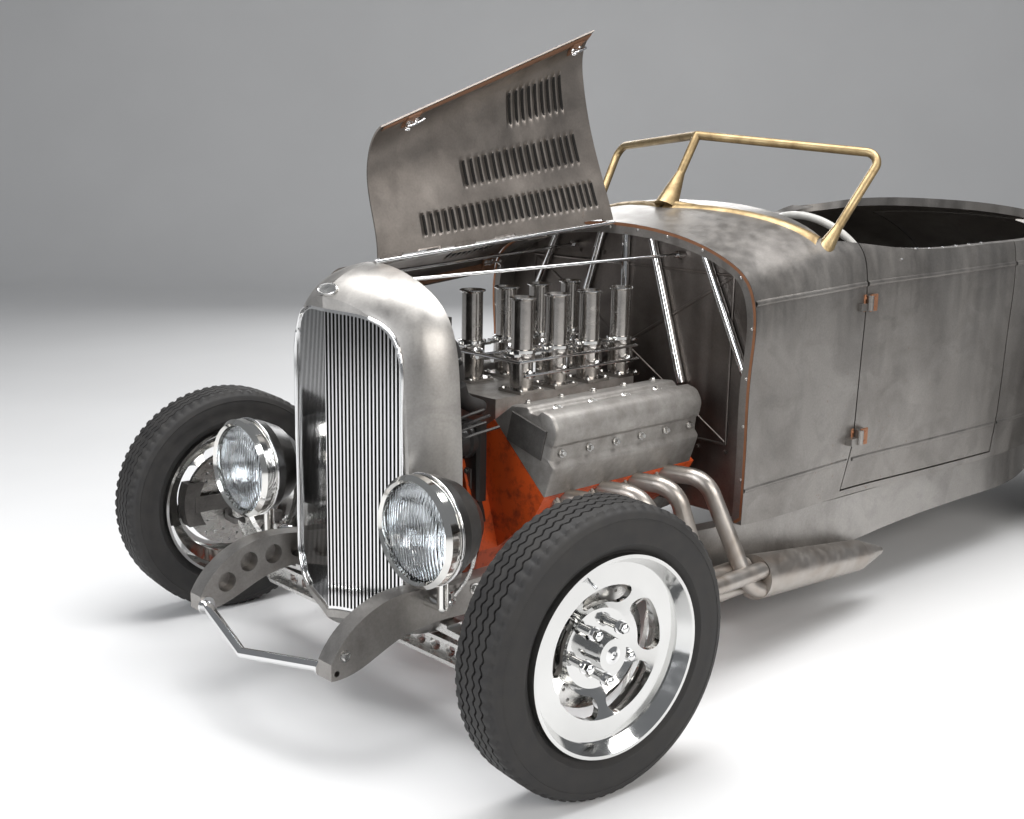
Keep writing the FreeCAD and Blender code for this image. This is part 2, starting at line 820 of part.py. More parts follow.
def add_front_axle():
    half = size.axle_flange_width / 2
    spare = size.cut_overrun
    band = prism(axle_band(0), point(size.axle_flange_width, 0, 0))
    beam = moved(band, -half, 0, 0)
    for direction in (1, -1):
        pocket = prism(axle_band(size.axle_flange), point(half + spare, 0, 0))
        start = size.axle_web / 2 if direction > 0 else -size.axle_web / 2 - half - spare
        beam = beam.cut(moved(pocket, start, 0, 0))
    middle = size.axle_bottom + size.axle_height / 2
    count = int(size.axle_hole_count)
    for index in range(count):
        y = size.axle_hole_pitch * (index - (count - 1) / 2)
        beam = beam.cut(Part.makeCylinder(size.axle_hole_radius, size.axle_flange_width,
                                          point(-half, y, middle), ALONG_X))
    for side in (1, -1):
        pin = kingpin_place(side)
        low = point(0, pin.y, size.front_tyre_radius - size.boss_height / 2)
        beam = beam.fuse(Part.makeCylinder(size.boss_radius, size.boss_height, low))
        beam = beam.cut(Part.makeCylinder(size.kingpin_radius + size.running_gap,
                                          size.boss_height + spare * 2, low - ALONG_Z * spare))
        ear_room = size.yoke_gap + size.yoke_thickness + size.panel_gap
        beam = beam.cut(Part.makeCylinder(size.arm_room_radius, ear_room,
                                          low - ALONG_Z * ear_room))
        beam = beam.cut(Part.makeCylinder(size.yoke_radius + size.panel_gap, ear_room,
                                          low + ALONG_Z * size.boss_height))
    keep("front_axle", biggest(beam.removeSplitter()))


def knuckle_shape():
    """A left knuckle: yoke, kingpin, spindle, steering arm and caliper bracket."""
    hub = size.front_tyre_radius
    pin_y = size.front_track_half - size.kingpin_offset
    ear_low = hub - size.boss_height / 2 - size.yoke_gap - size.yoke_thickness
    ear_high = hub + size.boss_height / 2 + size.yoke_gap
    web_y = pin_y + size.boss_radius + size.yoke_gap
    parts = []
    for z_ in (ear_low, ear_high):
        parts.append(Part.makeCylinder(size.yoke_radius, size.yoke_thickness, point(0, pin_y, z_)))
        parts.append(box(point(-size.yoke_radius, pin_y, z_),
                         point(size.yoke_radius, web_y + size.yoke_web / 2,
                               z_ + size.yoke_thickness)))
    parts.append(box(point(-size.yoke_radius, web_y, ear_low),
                     point(size.yoke_radius, web_y + size.yoke_web,
                           ear_high + size.yoke_thickness)))
    parts.append(Part.makeCylinder(size.kingpin_radius,
                                   ear_high + size.yoke_thickness - ear_low,
                                   point(0, pin_y, ear_low)))
    spindle_end = size.front_track_half + hub_inner() + size.spindle_length / 2
    parts.append(cylinder(point(0, web_y, hub), point(0, spindle_end, hub), size.spindle_radius))
    arm_foot = point(0, pin_y + size.yoke_gap, ear_low + size.yoke_thickness / 2)
    arm_end = tie_ball(1)
    parts.append(rod([arm_foot, point(-size.arm_length / 2, pin_y, arm_foot.z), arm_end],
                     size.arm_radius))
    parts.append(Part.makeCylinder(size.ball_radius, size.arm_radius * 2,
                                   arm_end - ALONG_Z * size.arm_radius))
    stud_start = arm_end - ALONG_Z * (size.arm_radius + size.ball_stud_length)
    parts.append(cylinder(stud_start, arm_end, size.ball_stud_radius))
    bracket_y = web_y + size.yoke_web / 2
    bracket_x = size.brake_hat_radius
    parts.append(box(point(bracket_x * 0.1, bracket_y - size.yoke_web / 2, hub - size.boss_radius),
                     point(bracket_x * 1.5, bracket_y, hub + size.boss_radius)))
    return fused(parts)


def tie_ball(side):
    """The steering arm's ball, straight ahead, for one side."""
    pin = kingpin_place(side)
    hub = size.front_tyre_radius
    height = hub - size.boss_height / 2 - size.yoke_gap - size.arm_drop
    return point(-size.arm_length, pin.y, height)


def caliper_shape():
    """A left caliper: two halves over the brake disc, joined beyond its rim."""
    hub = size.front_tyre_radius
    disc_middle = (size.front_track_half - size.brake_disc_inset + size.brake_disc_thickness / 2)
    inner_radius = size.brake_disc_radius - size.caliper_depth
    outer = size.brake_disc_radius + size.caliper_bridge
    block = box(point(0, disc_middle - size.caliper_width, hub - size.caliper_length / 2),
                point(outer, disc_middle + size.caliper_outboard,
                      hub + size.caliper_length / 2))
    depth = size.caliper_width + size.caliper_outboard
    foot = point(0, disc_middle - size.caliper_width, hub)
    ring = Part.makeCylinder(outer, depth, foot, ALONG_Y).cut(
        Part.makeCylinder(inner_radius, depth, foot, ALONG_Y))
    block = block.common(ring)
    slot = size.brake_disc_thickness / 2 + size.panel_gap
    groove = Part.makeCylinder(size.brake_disc_radius + size.panel_gap, slot * 2,
                               point(0, disc_middle - slot, hub), ALONG_Y)
    return block.cut(groove)


def add_knuckles():
    knuckle = knuckle_shape()
    caliper = caliper_shape()
    knuckle = fused([knuckle, caliper])
    for side in (1, -1):
        keep("knuckle_" + side_of(side), sided(knuckle, side, point(0, 0, 0)), steered(side))


def steered_point(spot, side):
    return steered(side).multVec(spot)


def add_tie_rod():
    ends = []
    for side in (1, -1):
        ball = steered_point(tie_ball(side), side)
        low = ball - ALONG_Z * (size.arm_radius + size.ball_stud_length)
        ends.append(low)
    eyes = []
    for low in ends:
        eyes.append(Part.makeCylinder(size.tie_end_radius, size.tie_end_height, low))
    lift = ALONG_Z * (size.tie_end_height / 2)
    bar = cylinder(ends[0] + lift, ends[1] + lift, size.tie_rod_radius)
    rod_shape = fused([bar] + eyes)
    for low in ends:
        rod_shape = rod_shape.cut(Part.makeCylinder(
            size.ball_stud_radius + size.running_gap,
            size.tie_end_height + size.cut_overrun * 2, low - ALONG_Z * size.cut_overrun))
    keep("tie_rod", rod_shape)


def front_spring_shape():
    leaves = []
    half = size.spring_leaf_width / 2
    for index in range(int(size.spring_leaves)):
        share = 1 - index / (size.spring_leaves + 1)
        reach = size.spring_half_length * share
        base = size.spring_seat_z - index * size.spring_leaf_thickness * -1
        drop = size.spring_rise * share * share
        low = [point(-half, -reach, base - drop), point(-half, 0, base), point(-half, reach, base - drop)]
        arc_low = Part.Arc(*low).toShape()
        high = [spot + ALONG_Z * size.spring_leaf_thickness for spot in low]
        arc_high = Part.Arc(*high).toShape()
        ends = [Part.makeLine(low[0], high[0]), Part.makeLine(low[2], high[2])]
        face = Part.Face(Part.Wire(Part.__sortEdges__([arc_low, ends[0], arc_high, ends[1]])))
        leaves.append(face.extrude(point(size.spring_leaf_width, 0, 0)))
    clamp_low = size.spring_seat_z - size.spring_leaf_thickness
    clamp_high = size.front_crossmember_z - size.front_crossmember_height / 2
    clamp = box(point(-half - size.spring_leaf_thickness, -size.spring_leaf_width, clamp_low),
                point(half + size.spring_leaf_thickness, size.spring_leaf_width, clamp_high))
    leaves.append(clamp)
    for side in (1, -1):
        end = point(0, side * size.spring_half_length, size.spring_seat_z - size.spring_rise)
        foot = size.axle_bottom + size.axle_height
        leaves.append(box(point(-half, end.y - size.spring_leaf_width / 2, foot),
                          point(half, end.y + size.spring_leaf_width / 2,
                                end.z + size.spring_leaf_thickness)))
    return fused(leaves)


def add_front_suspension():
    rods = []
    frame = pieces["frame"].Shape.translated(-shift)
    for side in (1, -1):
        axle_y = side * size.hairpin_axle_y
        middle = size.axle_bottom + size.axle_height / 2
        pivot = point(-size.hairpin_length, side * size.hairpin_frame_y, size.hairpin_frame_z)
        start_x = -size.axle_flange_width / 2
        pair = []
        for rise in (1, -1):
            start = point(start_x, axle_y, middle + rise * size.hairpin_spread / 2)
            neck = pivot + point(size.hairpin_spread * 2, 0, rise * size.hairpin_radius / 4)
            pair.append(cylinder(start, neck, size.hairpin_radius / 1.6))
        pair.append(cylinder(pivot + point(size.hairpin_spread * 2.2, 0, 0),
                             pivot - point(size.hairpin_radius, 0, 0), size.hairpin_radius))
        rail_side = rail_outer_y(-pivot.x) - size.rail_wall
        pair.append(cylinder(point(pivot.x, side * rail_side, pivot.z),
                             point(pivot.x, pivot.y, pivot.z), size.hairpin_radius * 0.7))
        whole_rod = pair[0].fuse(pair[1:])
        rods.append(biggest(whole_rod.cut(frame)))
    keep("front_suspension", Part.makeCompound([front_spring_shape()] + rods))


# Frame

def rail_station(shares):
    along, wide, low, high = shares
    span = size.rail_front_x + size.rail_rear_x
    return (size.rail_front_x - along * span, wide * size.rail_half_width,
            low * size.rail_crown, high * size.rail_crown)


def rail_outer_y(back):
    """The rail's outer face at a distance behind the front axle."""
    stations = [rail_station(shares) for shares in RAIL_STATION_SHARES]
    for (x0, y0, _, _), (x1, y1, _, _) in zip(stations, stations[1:]):
        if x1 <= -back <= x0:
            return y0 + (y1 - y0) * (x0 + back) / (x0 - x1)
    return stations[-1][1]


def rail_heights(back):
    stations = [rail_station(shares) for shares in RAIL_STATION_SHARES]
    for (x0, _, l0, h0), (x1, _, l1, h1) in zip(stations, stations[1:]):
        if x1 <= -back <= x0:
            share = (x0 + back) / (x0 - x1)
            return l0 + (l1 - l0) * share, h0 + (h1 - h0) * share
    return stations[-1][2], stations[-1][3]


def curve_through(spots):
    curve = Part.BSplineCurve()
    curve.interpolate(spots)
    return curve.toShape()


def band_prism(upper, lower, depth):
    """The area between two smooth curves, pushed along a vector."""
    ends = [Part.makeLine(upper[0], lower[0]), Part.makeLine(upper[-1], lower[-1])]
    edges = [curve_through(upper), ends[1], curve_through(lower), ends[0]]
    return Part.Face(Part.Wire(Part.__sortEdges__(edges))).extrude(depth)


def rail_shape():
    """The left rail: its side outline and its plan outline, pushed through each other."""
    stations = [rail_station(shares) for shares in RAIL_STATION_SHARES]
    side = band_prism([point(x, 0, high) for x, y, low, high in stations],
                      [point(x, 0, low) for x, y, low, high in stations],
                      point(0, size.rail_half_width + size.cut_overrun, 0))
    plan = band_prism([point(x, y, 0) for x, y, low, high in stations],
                      [point(x, y - size.rail_wall, 0) for x, y, low, high in stations],
                      point(0, 0, size.rail_crown * 2))
    return side.common(plan)


def frame_shape():
    rail = rail_shape()
    span = size.rail_front_x + size.rail_rear_x
    for along, high in HORN_HOLE_SHARES:
        x = size.rail_front_x - along * span
        inner = rail_outer_y(-x) - size.rail_wall
        rail = rail.cut(Part.makeCylinder(
            size.horn_hole_radius, size.horn_hole_depth + size.cut_overrun,
            point(x, inner - size.cut_overrun, high * size.rail_crown), ALONG_Y))
    bolt = point(size.spreader_end_x, 0, size.spreader_z)
    rail = rail.cut(Part.makeCylinder(size.horn_bolt_radius, size.rail_half_width, bolt, ALONG_Y))
    parts = [rail, mirrored(rail)]
    half = size.front_crossmember_width / 2
    low, high = rail_heights(0)
    inner = rail_outer_y(0) - size.rail_wall / 2
    member_low = size.front_crossmember_z - size.front_crossmember_height / 2
    parts.append(box(point(-half, -inner, member_low),
                     point(half, inner, member_low + size.front_crossmember_height)))
    for back in (size.center_crossmember_x, size.rear_crossmember_x):
        low, high = rail_heights(back)
        reach = rail_outer_y(back) - size.rail_wall / 2
        centre = (low + high) / 2
        parts.append(cylinder(point(-back, -reach, centre), point(-back, reach, centre),
                              size.crossmember_radius))
    return fused(parts + rear_bar_parts())


def rear_bar_parts():
    """The round bar across the rail ends, held by a stub on each rail."""
    reach = size.rear_spreader_y
    x = -(size.rear_reach - size.rear_spreader_radius)
    bar = [cylinder(point(x, -reach, size.rear_spreader_z), point(x, reach, size.rear_spreader_z),
                    size.rear_spreader_radius)]
    rail_end = rail_station(RAIL_STATION_SHARES[-1])
    for side in (1, -1):
        y = side * (rail_end[1] - size.rail_wall / 2)
        bar.append(cylinder(point(rail_end[0] + size.rail_wall, y, size.rear_spreader_z),
                            point(x, y, size.rear_spreader_z), size.rear_spreader_radius * 0.9))
    return bar


def add_spreader_bars():
    apex = point(size.front_reach - size.spreader_radius, 0,
                 size.spreader_z - size.spreader_apex_drop)
    end_y = rail_outer_y(-size.spreader_end_x) - size.rail_wall
    start = end_y - size.spreader_pad_thickness
    shapes = []
    for side in (1, -1):
        end = point(size.spreader_end_x, side * start, size.spreader_z)
        shapes.append(cylinder(apex, end, size.spreader_radius))
        shapes.append(Part.makeCylinder(size.spreader_pad_radius, size.spreader_pad_thickness,
                                        end, ALONG_Y * side))
    shapes.append(Part.makeSphere(size.spreader_radius, apex))
    frame = pieces["frame"].Shape.translated(-shift)
    keep("front_spreader_bar", fused(shapes).cut(frame))


# Rear axle and drive line

def add_rear_axle():
    centre = point(-size.wheelbase, 0, size.rear_tyre_radius)
    parts = [Part.makeSphere(size.rear_housing_radius, centre)]
    trim = size.rear_housing_radius
    for side in (1, -1):
        slab = box(point(-trim * 2, size.rear_housing_width / 2, -trim * 2),
                   point(trim * 2, trim * 2, trim * 2))
        slab = slab if side > 0 else mirrored(slab)
        parts[0] = parts[0].cut(moved(slab, centre.x, centre.y, centre.z))
    plate_y = size.rear_track_half + hub_inner() - size.drum_width - size.panel_gap
    parts.append(cylinder(centre - ALONG_Y * plate_y, centre + ALONG_Y * plate_y,
                          size.rear_tube_radius))
    for side in (1, -1):
        spindle_end = size.rear_track_half + hub_inner() + size.spindle_length / 2
        parts.append(cylinder(centre + ALONG_Y * side * plate_y,
                              centre + ALONG_Y * side * spindle_end, size.spindle_radius))
        plate = centre + ALONG_Y * side * (plate_y - size.disc_thickness)
        parts.append(Part.makeCylinder(size.drum_radius - size.panel_gap, size.disc_thickness,
                                       plate, ALONG_Y * side))
    parts.append(cylinder(centre, centre + ALONG_X * size.rear_housing_radius * 1.35,
                          size.driveshaft_radius * 1.3))
    axle = parts[0].fuse(parts[1:])
    frame = pieces["frame"].Shape.translated(-shift)
    units = [unit_shape.cut(axle).cut(frame) for unit_shape in rear_coilovers()]
    keep("rear_axle", Part.makeCompound([axle] + [biggest(shape) for shape in units]))


def rear_coilovers():
    """Two upright coil-over units between the axle tube and the rear crossmember."""
    units = []
    bracket_z = rail_heights(size.wheelbase)[0] + size.rail_wall / 2
    for side in (1, -1):
        y = side * size.rear_spring_y
        foot = point(-size.wheelbase, y, size.rear_tyre_radius)
        top = point(-size.wheelbase, y, bracket_z + size.rear_shock_radius)
        unit_parts = [cylinder(foot, top, size.rear_shock_radius)]
        rail_inner = rail_outer_y(size.wheelbase) - size.rail_wall
        unit_parts.append(cylinder(point(-size.wheelbase, y, bracket_z),
                                   point(-size.wheelbase, side * rail_inner, bracket_z),
                                   size.hairpin_radius))
        units.append(fused(unit_parts))
    return units


def add_drive_line():
    start_x = engine_rear_x()
    middle = start_x - size.gearbox_length * 0.28
    end = start_x - size.gearbox_length
    box_axis = size.gearbox_z
    bell = cone(point(start_x, 0, box_axis), point(middle, 0, box_axis),
                size.gearbox_front_radius, size.gearbox_rear_radius * 1.15)
    tail = cone(point(middle, 0, box_axis), point(end, 0, box_axis),
                size.gearbox_rear_radius * 1.15, size.gearbox_rear_radius * 0.7)
    gearbox = fused([bell, tail])
    keep("gearbox", gearbox)
    axle = pieces["rear_axle"].Shape.translated(-shift)
    keep("driveshaft", biggest(shaft_line(size.driveshaft_radius).cut(gearbox).cut(axle)))


def shaft_line(radius):
    """A cylinder from the gearbox's tail to the rear axle's nose."""
    end = engine_rear_x() - size.gearbox_length
    nose = -size.wheelbase + size.rear_housing_radius * 1.35
    return cylinder(point(end, 0, size.gearbox_z), point(nose, 0, size.rear_tyre_radius),
                    radius)


def engine_rear_x():
    return -(size.engine_front_x + size.engine_length)


# Engine

def add_engine():
    half = [
        (0, size.valley_z), (size.block_waist_y / 2, size.valley_z),
        (size.deck_inner_y, size.deck_inner_z), (size.deck_outer_y, size.deck_outer_z),
        (size.head_lower_y, size.head_lower_z), (size.block_waist_y, size.block_waist_z),
        (size.pan_rail_y, size.pan_rail_z), (0, size.pan_rail_z),
    ]
    right = [(-y, z_) for y, z_ in reversed(half[1:-1])]
    outline = [point(-size.engine_front_x, y, z_) for y, z_ in half + right]
    block = prism(outline, point(-size.engine_length, 0, 0))
    cover_depth = size.front_cover_depth
    nose = prism([point(-size.engine_front_x, y, z_) for y, z_ in (
        (size.pan_rail_y, size.pan_rail_z), (-size.pan_rail_y, size.pan_rail_z),
        (-size.block_waist_y, size.block_waist_z), (-size.block_waist_y / 2, size.valley_z),
        (size.block_waist_y / 2, size.valley_z), (size.block_waist_y, size.block_waist_z))],
        point(cover_depth, 0, 0))
    mounts = []
    mount_x = -size.engine_mount_x
    for side in (1, -1):
        rail_inner = side * (rail_outer_y(size.engine_mount_x) - size.rail_wall)
        mounts.append(slab_between(mount_x, mount_x - size.engine_mount_length,
                                   side * size.pan_rail_y / 2, rail_inner * 1.1,
                                   size.engine_mount_z,
                                   size.engine_mount_z + size.engine_mount_height))
    pan_low = size.pan_rail_z - size.pan_depth
    pan = box(point(engine_rear_x(), -size.pan_width_half, pan_low),
              point(-size.engine_front_x, size.pan_width_half, size.pan_rail_z))
    front = -size.engine_front_x + cover_depth
    pulley = cylinder(point(front, 0, size.pulley_z), point(front + size.pulley_width, 0, size.pulley_z),
                      size.pulley_radius)
    frame = pieces["frame"].Shape.translated(-shift)
    keep("engine_block", fused([block, nose, pan, pulley] + mounts).cut(frame))
    cover = valve_cover_shape()
    keep("valve_covers", Part.makeCompound([cover, mirrored(cover)]))


def valve_cover_shape():
    """A cast cover with a flat shelf on top and a raised rib along its outer ridge."""
    start = point(-size.engine_front_x, 0, 0)
    run = point(-size.cover_length, 0, 0)
    outline = [
        (size.deck_inner_y, size.deck_inner_z), (size.cover_inner_y, size.cover_inner_z),
        (size.cover_ridge_y - size.cover_rib_width, size.cover_ridge_z),
        (size.cover_ridge_y, size.cover_ridge_z - size.cover_step),
        (size.cover_side_y, size.cover_side_z), (size.deck_outer_y, size.deck_outer_z),
    ]
    solid = prism([start + point(0, y, z_) for y, z_ in outline], run)
    rib = [
        (size.cover_ridge_y - size.cover_rib_width, size.cover_ridge_z - size.cover_step),
        (size.cover_ridge_y - size.cover_rib_width * 0.8, size.cover_ridge_z + size.cover_step),
        (size.cover_ridge_y - size.cover_rib_width * 0.2, size.cover_ridge_z + size.cover_step),
        (size.cover_ridge_y - size.cover_step, size.cover_ridge_z - size.cover_step * 2),
    ]
    inset = point(-size.cover_step * 2, 0, 0)
    rib_solid = prism([start + inset + point(0, y, z_) for y, z_ in rib], run - inset * 2)
    return fused([solid, rib_solid])


def stack_places():
    for row in (1, -1):
        for index in range(4):
            yield -size.first_bore_x - size.bore_spacing * index, row * size.stack_y


def add_induction():
    body = box(point(engine_rear_x() + size.cover_step * 2, -size.manifold_half_width,
                     size.valley_z),
               point(-size.engine_front_x - size.cover_step * 2, size.manifold_half_width,
                     size.manifold_top_z))
    manifold = body.cut(pieces["engine_block"].Shape.translated(-shift))
    manifold = manifold.cut(valve_cover_shape()).cut(mirrored(valve_cover_shape()))
    keep("intake_manifold", biggest(manifold))
    throttles = []
    stacks = []
    for x, y in stack_places():
        base = point(x, y, size.manifold_top_z)
        flange = box(base - point(size.throttle_flange_half, size.throttle_flange_half, 0),
                     base + point(size.throttle_flange_half, size.throttle_flange_half,
                                  size.throttle_flange))
        barrel = cone(base, point(x, y, size.stack_base_z), size.throttle_radius * 0.86,
                      size.throttle_radius)
        throttles.append(flange.fuse(barrel))
        tube = Part.makeCylinder(size.stack_radius, size.stack_top_z - size.stack_base_z,
                                 point(x, y, size.stack_base_z))
        lip_base = point(x, y, size.stack_top_z - size.stack_lip_height)
        flare = Part.makeCone(size.stack_radius, size.stack_lip_radius, size.stack_lip_height,
                              lip_base)
        bore = Part.makeCylinder(size.stack_radius - size.stack_wall,
                                 size.stack_top_z - size.stack_base_z,
                                 point(x, y, size.stack_base_z))
        mouth = Part.makeCone(size.stack_radius - size.stack_wall,
                              size.stack_lip_radius - size.stack_wall, size.stack_lip_height,
                              lip_base)
        stacks.append(tube.fuse(flare).cut(bore).cut(mouth).removeSplitter())
    units = [fused([low, high]) for low, high in zip(throttles, stacks)]
    keep("intake_stacks", Part.makeCompound(units))


def biggest(shape):
    return max(shape.Solids, key=lambda solid: solid.Volume)


# Exhaust

def add_headers():
    first_x = size.first_bore_x - size.bore_spacing * 0.55
    pipes = []
    front = point(-size.collector_front_x, size.collector_y, size.collector_front_z)
    for index in range(4):
        x = -first_x - size.bore_spacing * index
        port = point(x, size.port_y, size.port_z)
        ring = index * 90 + 45
        spread = size.collector_front_radius - size.primary_radius
        aim = front + point(0, spread * math.cos(math.radians(ring)),
                            spread * math.sin(math.radians(ring)))
        lift = size.primary_bend * 1.3
        out = point(x - lift * 0.35, (size.port_y + size.collector_y) / 2 + lift * 0.25,
                    size.port_z + size.primary_radius * 0.2)
        down_x = x - size.bore_spacing * 1.05
        enter = aim + ALONG_X * size.bore_spacing * (0.35 + 0.95 * (3 - index))
        down_x = max(down_x, enter.x + size.bore_spacing * 0.35)
        route = [port, out, enter, aim]
        pipes.append(bent_tube(route, size.primary_radius, size.primary_bend))
    rear = front + point(-size.collector_length, 0, size.collector_rear_z - size.collector_front_z)
    along = unit(rear - front)
    merge = cone(front, rear, size.collector_front_radius, size.collector_rear_radius)
    tip_end = rear + along * size.collector_cone_length
    tip = cone(rear, tip_end, size.collector_rear_radius, size.collector_tip_radius)
    outlet = cylinder(tip_end, tip_end - along * size.collector_cone_length * 0.4,
                      size.collector_outlet_radius)
    header = fused(pipes + [merge, tip]).cut(outlet)
    engine = pieces["engine_block"].Shape.translated(-shift)
    frame = pieces["frame"].Shape.translated(-shift)
    header = header.cut(engine).cut(valve_cover_shape()).cut(frame)
    header = biggest(header)
    keep("exhaust_headers", Part.makeCompound([header, mirrored(header)]))


# Grille shell, insert and radiator

def half_outline(shares, half_width, bottom, top, centre_x, sweep, inset=0):
    """Points of half an outline in a leaning plane that falls back to the side."""
    spots = []
    for wide, high in shares:
        y = wide * (half_width - inset)
        z_ = bottom + inset + high * (top - bottom - inset * 2)
        spots.append(point(centre_x - sweep * y / half_width, y, z_))
    return spots


def smooth_wire(spots):
    """A smooth curve through the points, closed by a straight line."""
    curve = Part.BSplineCurve()
    curve.interpolate(spots)
    return Part.Wire([curve.toShape(), Part.makeLine(spots[-1], spots[0])])


def shell_half(inset, overrun=0):
    rear = half_outline(SHELL_OUTLINE_SHARES, size.shell_half_width, size.shell_bottom_z,
                        size.shell_top_z, size.shell_rear_x - overrun,
                        size.shell_rear_sweep, inset)
    middle = half_outline(SHELL_OUTLINE_SHARES, size.shell_middle_half_width,
                          size.shell_middle_bottom_z, size.shell_middle_top_z,
                          size.shell_middle_x, size.shell_middle_sweep, inset)
    front = half_outline(SHELL_OUTLINE_SHARES, size.shell_front_half_width,
                         size.shell_front_bottom_z, size.shell_front_top_z,
                         size.shell_front_x, size.shell_front_sweep, inset)
    wires = [smooth_wire(rear), smooth_wire(middle), smooth_wire(front)]
    return Part.makeLoft(wires, True, False)


def insert_prism(inset, back, ahead):
    """The insert's outline, pushed through the shell's front."""
    spots = half_outline(INSERT_OUTLINE_SHARES, size.insert_half_width, size.insert_bottom_z,
                         size.insert_top_z, 0, 0, inset)
    wire = smooth_wire(spots)
    solid = Part.Face(wire).extrude(point(ahead + back, 0, 0))
    solid.translate(point(-back, 0, 0))
    return both_sides(solid).removeSplitter()


def v_slab(start, depth):
    """A slab between two V planes that fall back to the sides like the shell's front."""
    reach = size.shell_half_width
    fall = size.shell_front_sweep / size.shell_front_half_width * reach
    x = size.shell_front_x - start
    half = [point(x, 0, 0), point(x - fall, reach, 0), point(x - fall - depth, reach, 0),
            point(x - depth, 0, 0)]
    solid = prism(half, point(0, 0, size.shell_top_z + size.cut_overrun))
    return both_sides(solid).removeSplitter()


def add_grille():
    outer = both_sides(shell_half(0)).removeSplitter()
    inner = both_sides(shell_half(size.shell_wall, size.cut_overrun)).removeSplitter()
    front_skin = v_slab(-size.cut_overrun, size.shell_wall + size.cut_overrun)
    inner = inner.cut(front_skin)
    shell = outer.cut(inner)
    shell = shell.cut(insert_prism(0, size.radiator_x, size.front_reach))
    notch_x = size.axle_flange_width / 2 + size.panel_gap
    notch_z = size.axle_bottom + size.axle_height + size.panel_gap
    shell = shell.cut(box(point(-size.radiator_depth, -size.shell_half_width, 0),
                          point(notch_x, size.shell_half_width, notch_z)))
    frame = pieces["frame"].Shape.translated(-shift)
    springs = pieces["front_suspension"].Shape.translated(-shift)
    shell = shell.cut(frame).cut(springs)
    keep("grille_shell", biggest(shell))
    slab = v_slab(size.insert_setback, size.surround_depth)
    ring = insert_prism(size.running_gap, 0, size.front_reach).cut(
        insert_prism(size.surround_width, 0, size.front_reach))
    surround = slab.common(ring)
    count = int(size.insert_half_width / size.bar_pitch)
    bars = []
    for index in range(-count, count + 1):
        y = index * size.bar_pitch
        half = size.bar_width / 2
        bars.append(box(point(0, y - half, size.insert_bottom_z),
                        point(size.front_reach, y + half, size.insert_top_z)))
    bar_slab = v_slab(size.insert_setback, size.bar_depth)
    opening = insert_prism(size.surround_width / 2, 0, size.front_reach)
    grid = Part.makeCompound(bars).common(bar_slab.common(opening))
    keep("grille_insert", fused([surround] + grid.Solids))
    core_low = point(size.radiator_x - size.radiator_depth, -size.radiator_half_width,
                     size.radiator_bottom_z)
    core_high = point(size.radiator_x, size.radiator_half_width,
                      size.radiator_top_z - size.tank_height)
    tank_low = point(core_low.x, -size.radiator_half_width * 0.92, core_high.z)
    tank_high = point(core_high.x, size.radiator_half_width * 0.92, size.radiator_top_z)
    foot_z = size.front_crossmember_z + size.front_crossmember_height / 2
    foot = box(point(core_low.x, -size.radiator_half_width / 2, foot_z),
               point(core_high.x, size.radiator_half_width / 2, core_low.z))
    radiator = fused([box(core_low, core_high), box(tank_low, tank_high), foot])
    radiator = radiator.common(both_sides(shell_half(size.shell_wall * 2, size.front_reach)))
    keep("radiator", biggest(radiator))


def stay_rods():
    rods = []
    for side in (1, -1):
        front = point(size.shell_rear_x, side * size.stay_front_y, size.stay_front_z)
        rear = point(-size.firewall_x, side * size.stay_rear_y, size.stay_rear_z)
        bar = cylinder(front, rear, size.stay_radius)
        boss = cylinder(rear, rear + unit(front - rear) * size.stay_boss_length,
                        size.stay_boss_radius)
        eye = cylinder(front, front + unit(rear - front) * size.stay_boss_length,
                       size.stay_boss_radius)
        rods.append(fused([bar, boss, eye]))
    ahead = box(point(-size.firewall_x, -size.body_half_width, 0),
                point(size.front_reach, size.body_half_width, size.post_top_z))
    shell = pieces["grille_shell"].Shape.translated(-shift)
    return [biggest(shape.common(ahead).cut(shell)) for shape in rods]


# Head lamps

